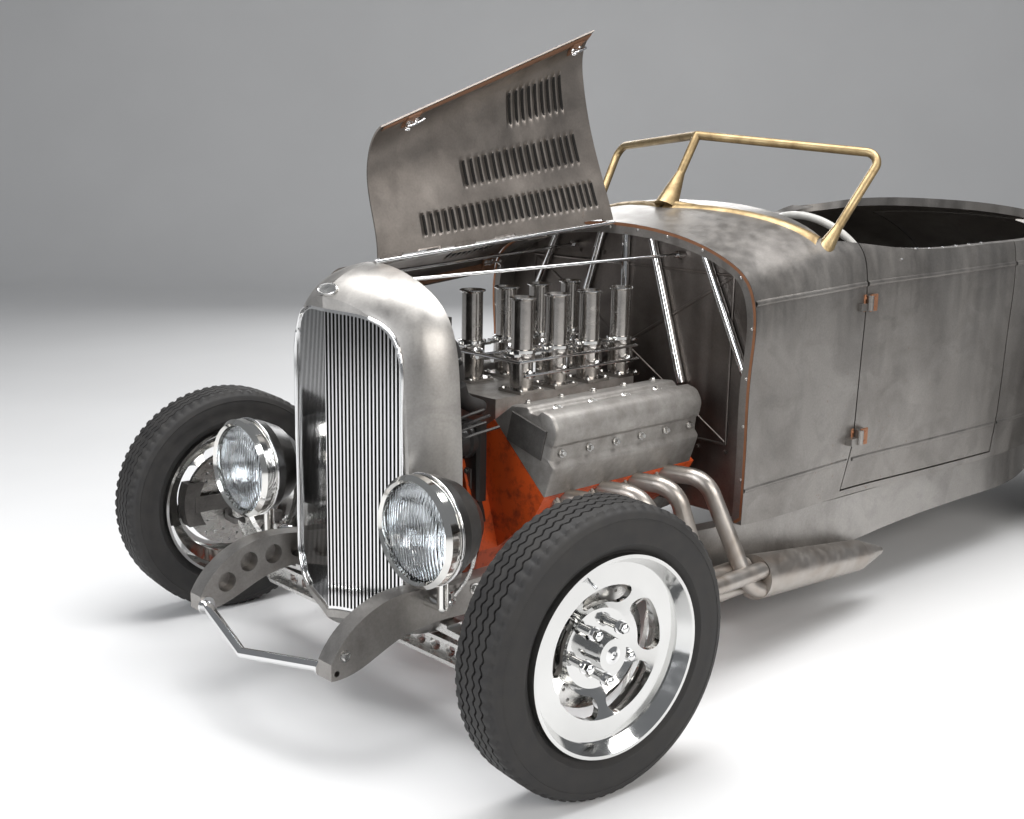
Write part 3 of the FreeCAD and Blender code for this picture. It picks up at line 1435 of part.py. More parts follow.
def add_lamps():
    ring_depth = size.lamp_ring_depth
    radius = size.lamp_radius
    depth = size.lamp_bowl_depth
    wall = size.lamp_wall
    bowl_outer = [(0, radius), (-depth * 0.28, radius * 0.97), (-depth * 0.58, radius * 0.80),
                  (-depth * 0.84, radius * 0.50), (-depth * 0.97, radius * 0.2), (-depth, 0)]
    ring = [(ring_depth * 0.75, radius * 0.90), (ring_depth, radius * 0.95),
            (ring_depth * 0.6, radius + wall), (0, radius + wall)]
    profile = [(0, radius * 0.90)] + ring + bowl_outer
    inner = [(-depth + wall * 3, 0)] + [(x, r - wall * 2) for x, r in reversed(bowl_outer[:4])]
    outline = profile + inner
    shell = turned_x(outline)
    crown = size.lens_crown
    edge_x = ring_depth * 0.15
    lens_edge = radius * 0.90 - size.running_gap
    lens = turned_x([(edge_x, 0), (edge_x, lens_edge),
                     (edge_x + size.lens_thickness, lens_edge),
                     (edge_x + size.lens_thickness + crown * 0.55, lens_edge * 0.66),
                     (edge_x + size.lens_thickness + crown * 0.9, lens_edge * 0.33),
                     (edge_x + size.lens_thickness + crown, 0)])
    lamps = []
    lenses = []
    for side in (1, -1):
        place = (size.lamp_x - ring_depth, side * size.lamp_y, size.lamp_z)
        lamps.append(moved(shell, *place))
        lenses.append(moved(lens, *place))
    keep("head_lamp_lenses", Part.makeCompound(lenses))
    stands = []
    for side in (1, -1):
        foot = point(size.lamp_stand_x, side * size.lamp_stand_y, size.lamp_z)
        rail_y = side * (rail_outer_y(-size.lamp_stand_x))
        top = point(foot.x, side * size.lamp_y, size.lamp_z - size.lamp_radius * 0.7)
        low = rail_heights(-size.lamp_stand_x)[1] - size.rail_wall / 2
        arm = rod([point(foot.x, rail_y, low), point(foot.x, side * size.lamp_y, low),
                   top + ALONG_Z * size.lamp_stand_radius], size.lamp_stand_radius)
        bowl = moved(turned_x([(ring_depth, 0), (ring_depth, radius)] + bowl_outer),
                     size.lamp_x - ring_depth, side * size.lamp_y, size.lamp_z)
        outside = box(point(-size.engine_front_x, side * rail_outer_y(-size.lamp_stand_x), 0),
                      point(size.front_reach, side * size.front_track_half, size.lamp_z)) \
            if side > 0 else box(point(-size.engine_front_x, -size.front_track_half, 0),
                                 point(size.front_reach, rail_y, size.lamp_z))
        stands.append(biggest(arm.cut(bowl).common(outside)))
    keep("head_lamps", Part.makeCompound([fused(pair) for pair in zip(lamps, stands)]))


# Body

def body_section(shares, inset, drop):
    """One closed section of the body: sides up to the belt, a round shoulder, the top."""
    along, belt_share, bottom_share, low_share, belt_z_share, top_share, power = shares
    x = -size.body_front_x - along * size.body_length
    belt = belt_share * size.body_half_width - inset
    foot = bottom_share * size.body_half_width - inset
    low = size.body_bottom_z + low_share * size.body_height - drop
    belt_z = size.body_bottom_z + belt_z_share * size.body_height
    top = size.body_bottom_z + top_share * size.body_height - inset
    half = []
    for rise, bulge in zip(BODY_SIDE_SHARES, BODY_SIDE_BULGE_SHARES):
        half.append((foot + (belt - foot) * bulge, low + (belt_z - low) * rise))
    for share in SHOULDER_ANGLE_SHARES:
        angle = math.radians(90 * share)
        y = belt * math.cos(angle) ** (2 / power)
        z_ = belt_z + (top - belt_z) * math.sin(angle) ** (2 / power)
        half.append((y, z_))
    spots = [point(x, y, z_) for y, z_ in half]
    spots.append(point(x, 0, top))
    spots += [point(x, -y, z_) for y, z_ in reversed(half)]
    curve = Part.BSplineCurve()
    curve.interpolate(spots)
    return Part.Wire([curve.toShape(), Part.makeLine(spots[-1], spots[0])])


def body_loft(inset, drop, ahead, behind):
    """The body's outer form, or its inner form drawn in by the wall."""
    sections = []
    stations = BODY_STATION_SHARES
    first = list(stations[0])
    last = list(stations[-1])
    if ahead:
        extra = list(first)
        extra[0] = first[0] - ahead / size.body_length
        sections.append(body_section(extra, inset, drop))
    sections += [body_section(shares, inset, drop) for shares in stations[:-1]]
    last[0] = last[0] - behind / size.body_length
    sections.append(body_section(last, inset, drop))
    return Part.makeLoft(sections, True, False)


def door_outline(grow):
    front = -size.door_front_x + grow
    rear = -size.door_rear_x - grow
    top = size.body_bottom_z + size.body_height * 2
    toe = size.door_toe_shift
    low = size.door_bottom_z - grow
    spots = [(front, top), (front, size.door_knee_z), (front + toe, low), (rear + toe / 4, low),
             (rear, size.door_knee_z), (rear, top)]
    return spots


def door_prism(grow, side):
    spots = door_outline(grow)
    start = side * size.cockpit_half_width * 0.6
    outline = [point(x, start, z_) for x, z_ in spots]
    return prism(outline, point(0, side * size.body_half_width, 0))


def cockpit_cut():
    """Everything above the door top line, and the round-cornered opening behind it."""
    front = size.cockpit_front_x
    run = size.cockpit_corner_x - size.cockpit_front_x
    rise = size.door_top_front_z - size.door_top_low_z
    rim = size.body_bottom_z + size.body_height
    spots = []
    for along, high in DOOR_TOP_SHARES:
        spots.append(point(-front - along * run, 0, size.door_top_low_z + high * rise))
    end = point(-size.cockpit_corner_x, 0, rim)
    curve = Part.BSplineCurve()
    curve.interpolate(spots + [end])
    top = rim + size.cut_overrun * 4
    corners = [end, point(end.x, 0, top), point(spots[0].x, 0, top), spots[0]]
    face = Part.Face(Part.Wire([curve.toShape(), Part.makePolygon(corners)]))
    depth = size.body_half_width * 2
    side_cut = face.extrude(point(0, depth, 0))
    side_cut.translate(point(0, -depth / 2, 0))
    corner = size.cockpit_rear_x - size.cockpit_corner_x
    half = size.cockpit_half_width
    low = size.body_bottom_z
    rear = size.cockpit_rear_x
    mid_x = -(rear - corner * (1 - math.sqrt(0.5)))
    mid_y = half - corner * (1 - math.sqrt(0.5))
    ahead = -size.cockpit_corner_x + size.cut_overrun
    edges = [
        Part.makeLine(point(ahead, -half, low), point(ahead, half, low)),
        Part.makeLine(point(ahead, half, low), point(-size.cockpit_corner_x, half, low)),
        Part.Arc(point(-size.cockpit_corner_x, half, low), point(mid_x, mid_y, low),
                 point(-rear, half - corner, low)).toShape(),
        Part.makeLine(point(-rear, half - corner, low), point(-rear, -half + corner, low)),
        Part.Arc(point(-rear, -half + corner, low), point(mid_x, -mid_y, low),
                 point(-size.cockpit_corner_x, -half, low)).toShape(),
        Part.makeLine(point(-size.cockpit_corner_x, -half, low), point(ahead, -half, low)),
    ]
    plan = Part.Face(Part.Wire(edges))
    plan_cut = plan.extrude(point(0, 0, size.body_height * 2))
    middle_low = point(-size.cockpit_corner_x, -size.cockpit_half_width * 0.8, low)
    middle_high = point(-size.cockpit_front_x, size.cockpit_half_width * 0.8, top)
    return side_cut.fuse(plan_cut).fuse(box(middle_low, middle_high))


def lid_region(grow, front_grow):
    """The part of the deck that the lid takes, swept round its own hinge."""
    hinge = point(-size.lid_front_x, 0, size.lid_hinge_z)
    half = size.lid_half_width + grow
    radius = size.lid_radius + grow
    drum = Part.makeCylinder(radius, half * 2, hinge - ALONG_Y * half, ALONG_Y)
    ahead = box(point(-size.lid_front_x + front_grow, -half * 2, 0),
                point(0, half * 2, size.lid_hinge_z * 2))
    return drum.cut(ahead)


def add_body():
    outer = body_loft(0, 0, 0, 0)
    inner = body_loft(size.body_wall, size.cut_overrun, size.cut_overrun, size.body_wall)
    tub = outer.cut(inner).cut(cockpit_cut())
    frame = pieces["frame"].Shape.translated(-shift)
    arch = Part.makeCylinder(size.axle_arch_radius, size.body_half_width * 2,
                             point(-size.wheelbase, -size.body_half_width,
                                   size.rear_tyre_radius), ALONG_Y)
    tub = tub.cut(frame).cut(arch)
    for side in (1, -1):
        door = tub.common(door_prism(0, side))
        door = biggest(door)
        keep("door_" + side_of(side), with_door_knuckles(door, side))
    lid = biggest(tub.common(lid_region(0, 0)))
    keep("deck_lid", with_lid_knuckles(lid))
    for side in (1, -1):
        tub = tub.cut(door_prism(size.panel_gap, side))
    tub = tub.cut(lid_region(size.panel_gap, size.lid_front_gap))
    for side in (1, -1):
        tub = tub.cut(lid_barrel(side, 0, size.lid_hinge_radius + size.panel_gap / 2))
    ahead = box(point(-size.door_front_x, -size.body_half_width * 2, 0),
                point(0, size.body_half_width * 2, size.body_height * 2))
    cowl = biggest(tub.common(ahead))
    quarter = biggest(tub.cut(ahead))
    return inner, cowl, quarter


def door_hinge_heights():
    return (size.door_hinge_upper_z, size.door_hinge_lower_z)


def with_door_knuckles(door, side):
    """Fuses the door's hinge leaves and the barrels that turn on the body's pins."""
    for height in door_hinge_heights():
        barrel_low = point(-size.door_front_x, side * size.door_pin_y, height)
        length = size.door_knuckle_length / 2
        barrel = Part.makeCylinder(size.door_knuckle_radius, length, barrel_low)
        leaf_y = side * (size.door_pin_y - size.door_leaf_thickness / 2)
        leaf = slab_between(-size.door_front_x - size.door_leaf_length, -size.door_front_x,
                            leaf_y - side * size.door_pin_drop, leaf_y, height, height + length)
        bore = Part.makeCylinder(size.door_pin_radius + size.running_gap,
                                 length + size.cut_overrun * 2,
                                 barrel_low - ALONG_Z * size.cut_overrun)
        door = door.fuse(barrel.fuse(leaf).cut(bore))
    return door.removeSplitter()


def slab_between(x0, x1, y0, y1, z0, z1):
    low = point(min(x0, x1), min(y0, y1), min(z0, z1))
    high = point(max(x0, x1), max(y0, y1), max(z0, z1))
    return box(low, high)


def door_hinges_shape():
    """The cowl's halves of the door hinges, each with its pin."""
    parts = []
    for side in (1, -1):
        for height in door_hinge_heights():
            length = size.door_knuckle_length / 2
            low = point(-size.door_front_x, side * size.door_pin_y, height - length)
            top_gap = size.door_knuckle_gap
            barrel = Part.makeCylinder(size.door_knuckle_radius, length - top_gap, low)
            leaf_y = side * (size.door_pin_y - size.door_leaf_thickness / 2)
            leaf = slab_between(-size.door_front_x + size.door_leaf_length, -size.door_front_x,
                                leaf_y - side * size.door_pin_drop, leaf_y,
                                low.z, low.z + length - top_gap)
            pin = Part.makeCylinder(size.door_pin_radius, length * 2, low)
            parts.append(fused([barrel, leaf, pin]))
    return Part.makeCompound(parts)


def with_lid_knuckles(lid):
    clear = size.lid_hinge_radius + size.door_knuckle_gap
    for side in (1, -1):
        own = lid_barrel(side, 0, size.lid_hinge_radius)
        other = lid_barrel(side, 1, clear)
        leaf = lid_leaf(side, 0, -1)
        pin_way = Part.makeCylinder(size.lid_pin_radius + size.running_gap,
                                    size.lid_hinge_length * 2,
                                    point(-size.lid_front_x, side * size.lid_hinge_y,
                                          size.lid_hinge_z), ALONG_Y * side)
        lid = lid.cut(other).fuse([own, leaf]).cut(pin_way)
    return lid


def lid_barrel(side, number, radius):
    """One barrel of a deck lid hinge: number 0 is on the lid and 1 on the body."""
    start = size.lid_hinge_y + number * (size.lid_hinge_length + size.door_knuckle_gap)
    spot = point(-size.lid_front_x, side * start, size.lid_hinge_z)
    return Part.makeCylinder(radius, size.lid_hinge_length, spot, ALONG_Y * side)


def lid_leaf(side, number, direction):
    start = size.lid_hinge_y + number * (size.lid_hinge_length + size.door_knuckle_gap)
    return slab_between(-size.lid_front_x, -size.lid_front_x + direction * size.lid_hinge_leaf,
                        side * start, side * (start + size.lid_hinge_length),
                        size.lid_hinge_z - size.lid_hinge_leaf_thickness * 2,
                        size.lid_hinge_z - size.lid_hinge_leaf_thickness / 2)


def lid_hinges_on_body():
    """The body's barrels, with the pins that carry the lid."""
    parts = []
    for side in (1, -1):
        parts.append(lid_barrel(side, 1, size.lid_hinge_radius))
        parts.append(lid_leaf(side, 1, 1))
        start = point(-size.lid_front_x, side * size.lid_hinge_y, size.lid_hinge_z)
        pin = size.lid_hinge_length + size.door_knuckle_gap * 2
        parts.append(Part.makeCylinder(size.lid_pin_radius, pin, start, ALONG_Y * side))
    return parts


def add_cabin(inner):
    back = size.firewall_x
    wide = size.body_half_width
    frame = pieces["frame"].Shape.translated(-shift)
    gearbox = pieces["gearbox"].Shape.translated(-shift)
    high = size.body_bottom_z + size.body_height * 2
    low_z = size.floor_z - size.floor_thickness
    plate = box(point(-back - size.firewall_thickness, -wide, low_z), point(-back, wide, high))
    firewall = plate.common(inner)
    tunnel_hole = tunnel_solid(0, size.firewall_thickness * 2)
    firewall = firewall.cut(moved(tunnel_hole, size.firewall_thickness, 0, 0)).cut(frame)
    firewall = firewall.cut(gearbox)
    keep("firewall", biggest(firewall))
    floor = box(point(-size.floor_rear_x, -wide, low_z),
                point(-back - size.firewall_thickness, wide, size.floor_z)).common(inner)
    riser = box(point(-size.floor_rear_x - size.floor_thickness, -wide, low_z),
                point(-size.floor_rear_x, wide, size.tail_floor_z)).common(inner)
    tail = box(point(-size.tail_floor_rear_x, -wide, size.tail_floor_z - size.floor_thickness),
               point(-size.floor_rear_x, wide, size.tail_floor_z)).common(inner)
    tunnel = tunnel_solid(0, size.cut_overrun).cut(tunnel_solid(size.floor_thickness, size.cut_overrun * 2))
    floor = floor.cut(tunnel_solid(size.floor_thickness, size.cut_overrun))
    floor_shape = fused([floor, riser, tail, tunnel])
    shaft_room = shaft_line(size.driveshaft_radius + size.panel_gap)
    floor_shape = floor_shape.cut(frame).cut(gearbox).cut(shaft_room)
    keep("floor_pan", biggest(floor_shape))
    return floor_shape


def dashboard_shape(inner):
    """The dashboard, across the cowl under its rear edge."""
    wide = size.body_half_width
    high = size.body_bottom_z + size.body_height * 2
    dash = box(point(-size.dash_x - size.dash_thickness, -wide, size.dash_bottom_z),
               point(-size.dash_x, wide, high))
    dash = inner.common(dash)
    above = box(point(-size.cockpit_rear_x, -wide, size.dash_top_z),
                point(0, wide, high))
    return biggest(dash.cut(above))


def tunnel_solid(inset, overrun):
    """The gearbox tunnel: an arch that falls and narrows towards the rear."""
    start = -size.firewall_x - size.firewall_thickness
    base = size.floor_z - size.floor_thickness - overrun + size.cut_overrun
    spots = []
    for share in (0, 1):
        half = size.tunnel_half_width * (1 - share * 0.5) - inset
        top = size.floor_z + (size.tunnel_top_z - size.floor_z) * (1 - share * 0.55) - inset
        x = start - size.tunnel_length * share - (overrun - size.cut_overrun) * share
        x = x + (overrun - size.cut_overrun) * (1 - share)
        wing = half * 0.6
        spots.append([point(x, half, base), point(x, half, (base + top) / 2), point(x, wing, top),
                      point(x, -wing, top), point(x, -half, (base + top) / 2),
                      point(x, -half, base)])
    wires = [Part.makePolygon(ring + [ring[0]]) for ring in spots]
    return Part.makeLoft(wires, True, True)



def add_braces(inner):
    """Tubes that brace the firewall and cowl behind the engine."""
    x = -size.firewall_x + size.brace_radius + size.running_gap
    top = size.hood_rear_top_z
    radius = size.brace_radius
    wide = size.stay_rear_y
    routes = [[point(x, 0, top), point(x, 0, size.manifold_top_z)]]
    for side in (1, -1):
        routes.append([point(x, side * wide * 0.42, top), point(x, side * wide * 1.1,
                                                                size.cover_ridge_z)])
        routes.append([point(x, side * wide * 1.25, top), point(x, side * wide * 2.3,
                                                                size.cover_ridge_z)])
    bars = [cylinder(a, b, radius) for a, b in routes]
    room = inner.copy()
    kept = []
    stays = stay_rods()
    for bar in bars:
        kept.append(biggest(bar.common(room).cut(stays)))
    keep("engine_bay_braces", Part.makeCompound(stays + kept))


# Windshield frame

def add_windshield():
    post_foot = point(-size.post_foot_x, 0, size.post_foot_z)
    post_top = point(-size.post_top_x, 0, size.post_top_z)
    panes = []
    for side in (1, -1):
        corner = point(-size.corner_x, side * size.corner_y, size.corner_z)
        side_foot = point(-size.side_foot_x, side * size.side_foot_y, size.side_foot_z)
        sill_in = post_foot + ALONG_Z * size.sill_rise * 0.4
        sill_out = side_foot + ALONG_Z * size.sill_rise + point(0, -side * size.windshield_radius, 0)
        sill_mid = (sill_in + sill_out) / 2 + ALONG_Z * size.sill_rise
        panes.append(rod([sill_in, sill_mid, sill_out], size.windshield_radius))
        panes.append(bent_tube([side_foot, corner, post_top], size.windshield_radius,
                               size.windshield_bend))
        shoe_top = side_foot + unit(corner - side_foot) * size.post_foot_length * 0.8
        panes.append(cone(side_foot, shoe_top, size.post_foot_half_width,
                          size.windshield_radius))
        panes.append(Part.makeSphere(size.post_foot_half_width, side_foot))
    panes.append(cylinder(post_foot, post_top, size.windshield_radius))
    panes.append(Part.makeSphere(size.windshield_radius, post_top))
    shoe_top = post_foot + unit(post_top - post_foot) * size.post_foot_length
    panes.append(cone(post_foot, shoe_top, size.post_foot_half_width * 1.3,
                      size.windshield_radius))
    frame = fused(panes)
    frame = frame.cut(body_loft(0, size.cut_overrun, 0, 0))
    keep("windshield_frame", biggest(frame))


# Steering wheel and column

def column_direction():
    """From the wheel towards the driver."""
    angle = math.radians(size.column_angle)
    return point(-math.cos(angle), 0, math.sin(angle))


def add_steering():
    centre = point(-size.wheel_center_x, size.wheel_center_y, size.wheel_center_z)
    axis = column_direction()
    ring = Part.makeTorus(size.wheel_ring_radius, size.wheel_grip_radius, centre, axis)
    hub_start = centre - axis * size.wheel_hub_length
    hub = Part.makeCylinder(size.wheel_hub_radius, size.wheel_hub_length, hub_start, axis)
    across = ALONG_Y
    upward = axis.cross(across)
    parts = [ring, hub]
    for index in range(int(size.wheel_spokes)):
        turn = math.radians(90 + 360 * index / size.wheel_spokes)
        reach = across * math.cos(turn) + upward * math.sin(turn)
        side_dir = axis.cross(reach)
        half = side_dir * (size.wheel_spoke_width / 2)
        foot = hub_start + axis * size.wheel_spoke_thickness + reach * size.wheel_hub_radius / 2
        tip = centre + reach * size.wheel_ring_radius
        spoke = prism([foot - half, foot + half, tip + half / 2, tip - half / 2],
                      axis * size.wheel_spoke_thickness)
        parts.append(spoke)
    keep("steering_wheel", fused(parts))
    start = hub_start - axis * size.panel_gap / 10
    firewall_rear = -size.firewall_x - size.firewall_thickness
    length = (firewall_rear - start.x) / (-axis.x)
    column = cylinder(start, start - axis * abs(length) * 1.2, size.column_radius)
    cabin = box(point(-size.cockpit_rear_x, 0, 0),
                point(firewall_rear, size.body_half_width, size.post_top_z))
    dash = pieces["cowl"].Shape.translated(-shift)
    floor = pieces["floor_pan"].Shape.translated(-shift)
    column = biggest(column.common(cabin).cut(dash).cut(floor))
    keep("steering_column", column)


# Hood

def hood_axis():
    """From the front end of the hinge rod to its rear end."""
    front = point(size.shell_rear_x, 0, size.hood_front_top_z)
    rear = point(-size.body_front_x, 0, size.hood_rear_top_z)
    return front, rear


def hood_wire(x, half_width, edge_z, top_z, shares, thickness):
    curve_points = []
    for wide, high in shares:
        curve_points.append(point(x, wide * half_width, edge_z + high * (top_z - edge_z)))
    curve = Part.BSplineCurve()
    curve.interpolate(curve_points)
    lower_points = [spot - ALONG_Z * thickness for spot in curve_points[:-1]]
    lower_points.append(curve_points[-1] - ALONG_Y * thickness)
    lower = Part.BSplineCurve()
    lower.interpolate(lower_points)
    ends = [Part.makeLine(curve_points[0], lower_points[0]),
            Part.makeLine(curve_points[-1], lower_points[-1])]
    return Part.Wire(Part.__sortEdges__([curve.toShape(), ends[1], lower.toShape(), ends[0]]))


def hood_panel():
    front_x = size.shell_rear_x
    rear_x = -size.body_front_x + size.hood_gap
    front, rear = hood_axis()
    slope = (rear.z - front.z) / (front.x - rear.x)
    front_top = front.z + slope * (front.x - front_x)
    rear_top = front.z + slope * (front.x - rear_x)
    wires = [
        hood_wire(front_x, size.hood_front_half_width, size.hood_front_edge_z, front_top,
                  HOOD_FRONT_SHARES, size.hood_thickness),
        hood_wire(rear_x, size.hood_rear_half_width, size.hood_rear_edge_z, rear_top,
                  HOOD_REAR_SHARES, size.hood_thickness),
    ]
    fall = size.shell_rear_sweep / size.shell_half_width * size.hood_rear_half_width
    edge = size.shell_rear_x - size.hood_gap
    ahead = prism([point(edge, 0, 0), point(edge - fall, size.hood_rear_half_width, 0),
                   point(size.front_reach, size.hood_rear_half_width, 0),
                   point(size.front_reach, 0, 0)], point(0, 0, size.hood_rear_top_z * 2))
    return Part.makeLoft(wires, True, True).cut(ahead)


def hood_knuckle(share, radius, length):
    front, rear = hood_axis()
    along = unit(rear - front)
    span = (rear - front).Length
    start = front + along * (span * share - length / 2)
    return Part.makeCylinder(radius, length, start, along)


def hood_half(own_shares, other_shares):
    panel = hood_panel()
    front, rear = hood_axis()
    along = unit(rear - front)
    reach = size.cut_overrun
    rod_room = Part.makeCylinder(size.hood_rod_radius + size.hood_thickness / 4,
                                 (rear - front).Length + reach * 2, front - along * reach, along)
    panel = panel.cut(rod_room)
    gap = size.hood_gap
    for share in other_shares:
        panel = panel.cut(hood_knuckle(share, size.hood_knuckle_radius + gap / 2,
                                       size.hood_knuckle_length + gap * 2))
    for share in own_shares:
        knuckle = hood_knuckle(share, size.hood_knuckle_radius, size.hood_knuckle_length)
        bore = hood_knuckle(share, size.hood_rod_radius + size.running_gap,
                            size.hood_knuckle_length + reach)
        panel = panel.fuse(knuckle).cut(bore)
    return biggest(panel.removeSplitter())


def add_hood():
    left_shares, right_shares = HOOD_KNUCKLE_SHARES
    front, rear = hood_axis()
    along = unit(rear - front)
    turn = FreeCAD.Rotation(along, -size.hood_open_angle)
    raised = FreeCAD.Placement(point(0, 0, 0), turn, front)
    left = hood_half(left_shares, right_shares)
    keep("hood_left", left, raised)
    keep("hood_right", mirrored(hood_half(right_shares, left_shares)))
    rod_shape = cylinder(front, rear, size.hood_rod_radius)
    keep("hood_hinge_rod", rod_shape)


# Tank

def add_fuel_tank():
    front = size.rail_rear_x + size.panel_gap - size.fuel_tank_length
    frame = pieces["frame"].Shape.translated(-shift)
    tank = box(point(-front - size.fuel_tank_length, -size.fuel_tank_half_width,
                     size.fuel_tank_bottom_z),
               point(-front, size.fuel_tank_half_width, size.fuel_tank_top_z))
    mouth = point(-front - size.fuel_tank_length + size.filler_radius + size.panel_gap / 2,
                  size.filler_y, size.fuel_tank_top_z)
    neck = Part.makeCylinder(size.filler_radius, size.filler_height, mouth)
    bore = Part.makeCylinder(size.filler_bore_radius, size.filler_height, mouth)
    tank = tank.cut(frame).cut(pieces["rear_body"].Shape.translated(-shift))
    keep("fuel_tank", fused([biggest(tank), neck]).cut(bore))


def build_all():
    keep("frame", frame_shape())
    add_spreader_bars()
    add_front_wheels()
    add_rear_wheels()
    add_front_axle()
    add_knuckles()
    add_tie_rod()
    add_front_suspension()
    add_rear_axle()
    add_drive_line()
    add_engine()
    add_induction()
    add_headers()
    add_grille()
    add_lamps()
    inner, cowl, quarter = add_body()
    add_cabin(inner)
    add_braces(inner)
    hinges = door_hinges_shape().Solids
    keep("cowl", fused([cowl, dashboard_shape(inner)] + hinges))
    keep("rear_body", fused([quarter] + lid_hinges_on_body()))
    add_windshield()
    add_steering()
    add_hood()
    add_fuel_tank()


build_all()
doc.recompute()

faults = []
for item in doc.Objects:
    if "Invalid" in item.State or "Error" in item.State:
        faults.append("%s: %s" % (item.Label, item.State))
for label, piece in pieces.items():
    if piece.Shape.isNull() or not piece.Shape.isValid():
        faults.append("%s: bad shape" % label)
if faults:
    raise RuntimeError("; ".join(faults))

os.makedirs("parts", exist_ok=True)
for label, piece in pieces.items():
    piece.Shape.exportStep(os.path.join("parts", label + ".step"))
    extent = piece.Shape.BoundBox
    print("%-26s %5.0f %5.0f %5.0f  %9.0f cm3  %d solids" % (
        label, extent.XLength, extent.YLength, extent.ZLength,
        piece.Shape.Volume / 1000, len(piece.Shape.Solids)))
whole = Part.makeCompound([piece.Shape for piece in pieces.values()]).BoundBox
print("whole", [round(v, 1) for v in (whole.XMin, whole.XMax, whole.YMin, whole.YMax,
                                      whole.ZMin, whole.ZMax)])
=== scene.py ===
import bmesh
import bpy
import json
import math
from mathutils import Matrix, Vector
from mathutils.bvhtree import BVHTree

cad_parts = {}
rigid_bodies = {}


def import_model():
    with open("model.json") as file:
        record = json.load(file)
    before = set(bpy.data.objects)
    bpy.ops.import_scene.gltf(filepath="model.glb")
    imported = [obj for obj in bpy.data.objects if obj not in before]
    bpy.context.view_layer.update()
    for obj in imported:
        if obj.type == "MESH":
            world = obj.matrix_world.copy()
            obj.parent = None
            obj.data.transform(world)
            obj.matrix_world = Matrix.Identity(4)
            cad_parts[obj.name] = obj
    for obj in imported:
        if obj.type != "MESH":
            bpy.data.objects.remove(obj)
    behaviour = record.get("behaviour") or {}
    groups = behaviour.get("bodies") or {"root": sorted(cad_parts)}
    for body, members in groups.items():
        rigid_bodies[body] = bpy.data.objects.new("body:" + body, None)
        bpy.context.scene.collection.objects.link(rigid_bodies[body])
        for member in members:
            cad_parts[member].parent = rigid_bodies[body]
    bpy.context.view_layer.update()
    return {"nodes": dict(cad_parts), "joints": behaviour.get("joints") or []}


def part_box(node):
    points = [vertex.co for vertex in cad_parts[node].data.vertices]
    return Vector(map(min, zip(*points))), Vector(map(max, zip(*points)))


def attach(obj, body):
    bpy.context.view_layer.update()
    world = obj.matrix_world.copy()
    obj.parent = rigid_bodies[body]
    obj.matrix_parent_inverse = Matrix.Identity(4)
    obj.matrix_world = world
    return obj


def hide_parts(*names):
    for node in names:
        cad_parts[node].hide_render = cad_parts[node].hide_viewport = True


for startup_thing in list(bpy.data.objects):
    bpy.data.objects.remove(startup_thing)
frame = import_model()
nodes = frame["nodes"]
joints = {joint["name"]: joint for joint in frame["joints"]}

MM = 0.001
# Places along the car, in mm.
FRONT_AXLE_X = 1475
WHEELBASE = 2692
REAR_AXLE_X = FRONT_AXLE_X - WHEELBASE
# The camera, found from the photograph, in metres.
CAMERA_PLACE = Vector((3.2701, 2.3289, 1.3108))
CAMERA_YAW = math.radians(226.406)
CAMERA_PITCH = math.radians(-12.269)
CAMERA_ROLL = math.radians(0.974)
CAMERA_LENS = 45.12
REST_STEER = math.radians(-6.5)
RIGHT_TURN = math.radians(90)
SMOOTH_ANGLE = math.radians(38)
LAMP_FOOT_SHARE = 0.30
LAMP_RING_DEPTH = 20 * MM
# How far behind the bars' front plane the painted shade on their sides begins.
GRILLE_BAR_EDGE = 0.5 * MM


# Materials

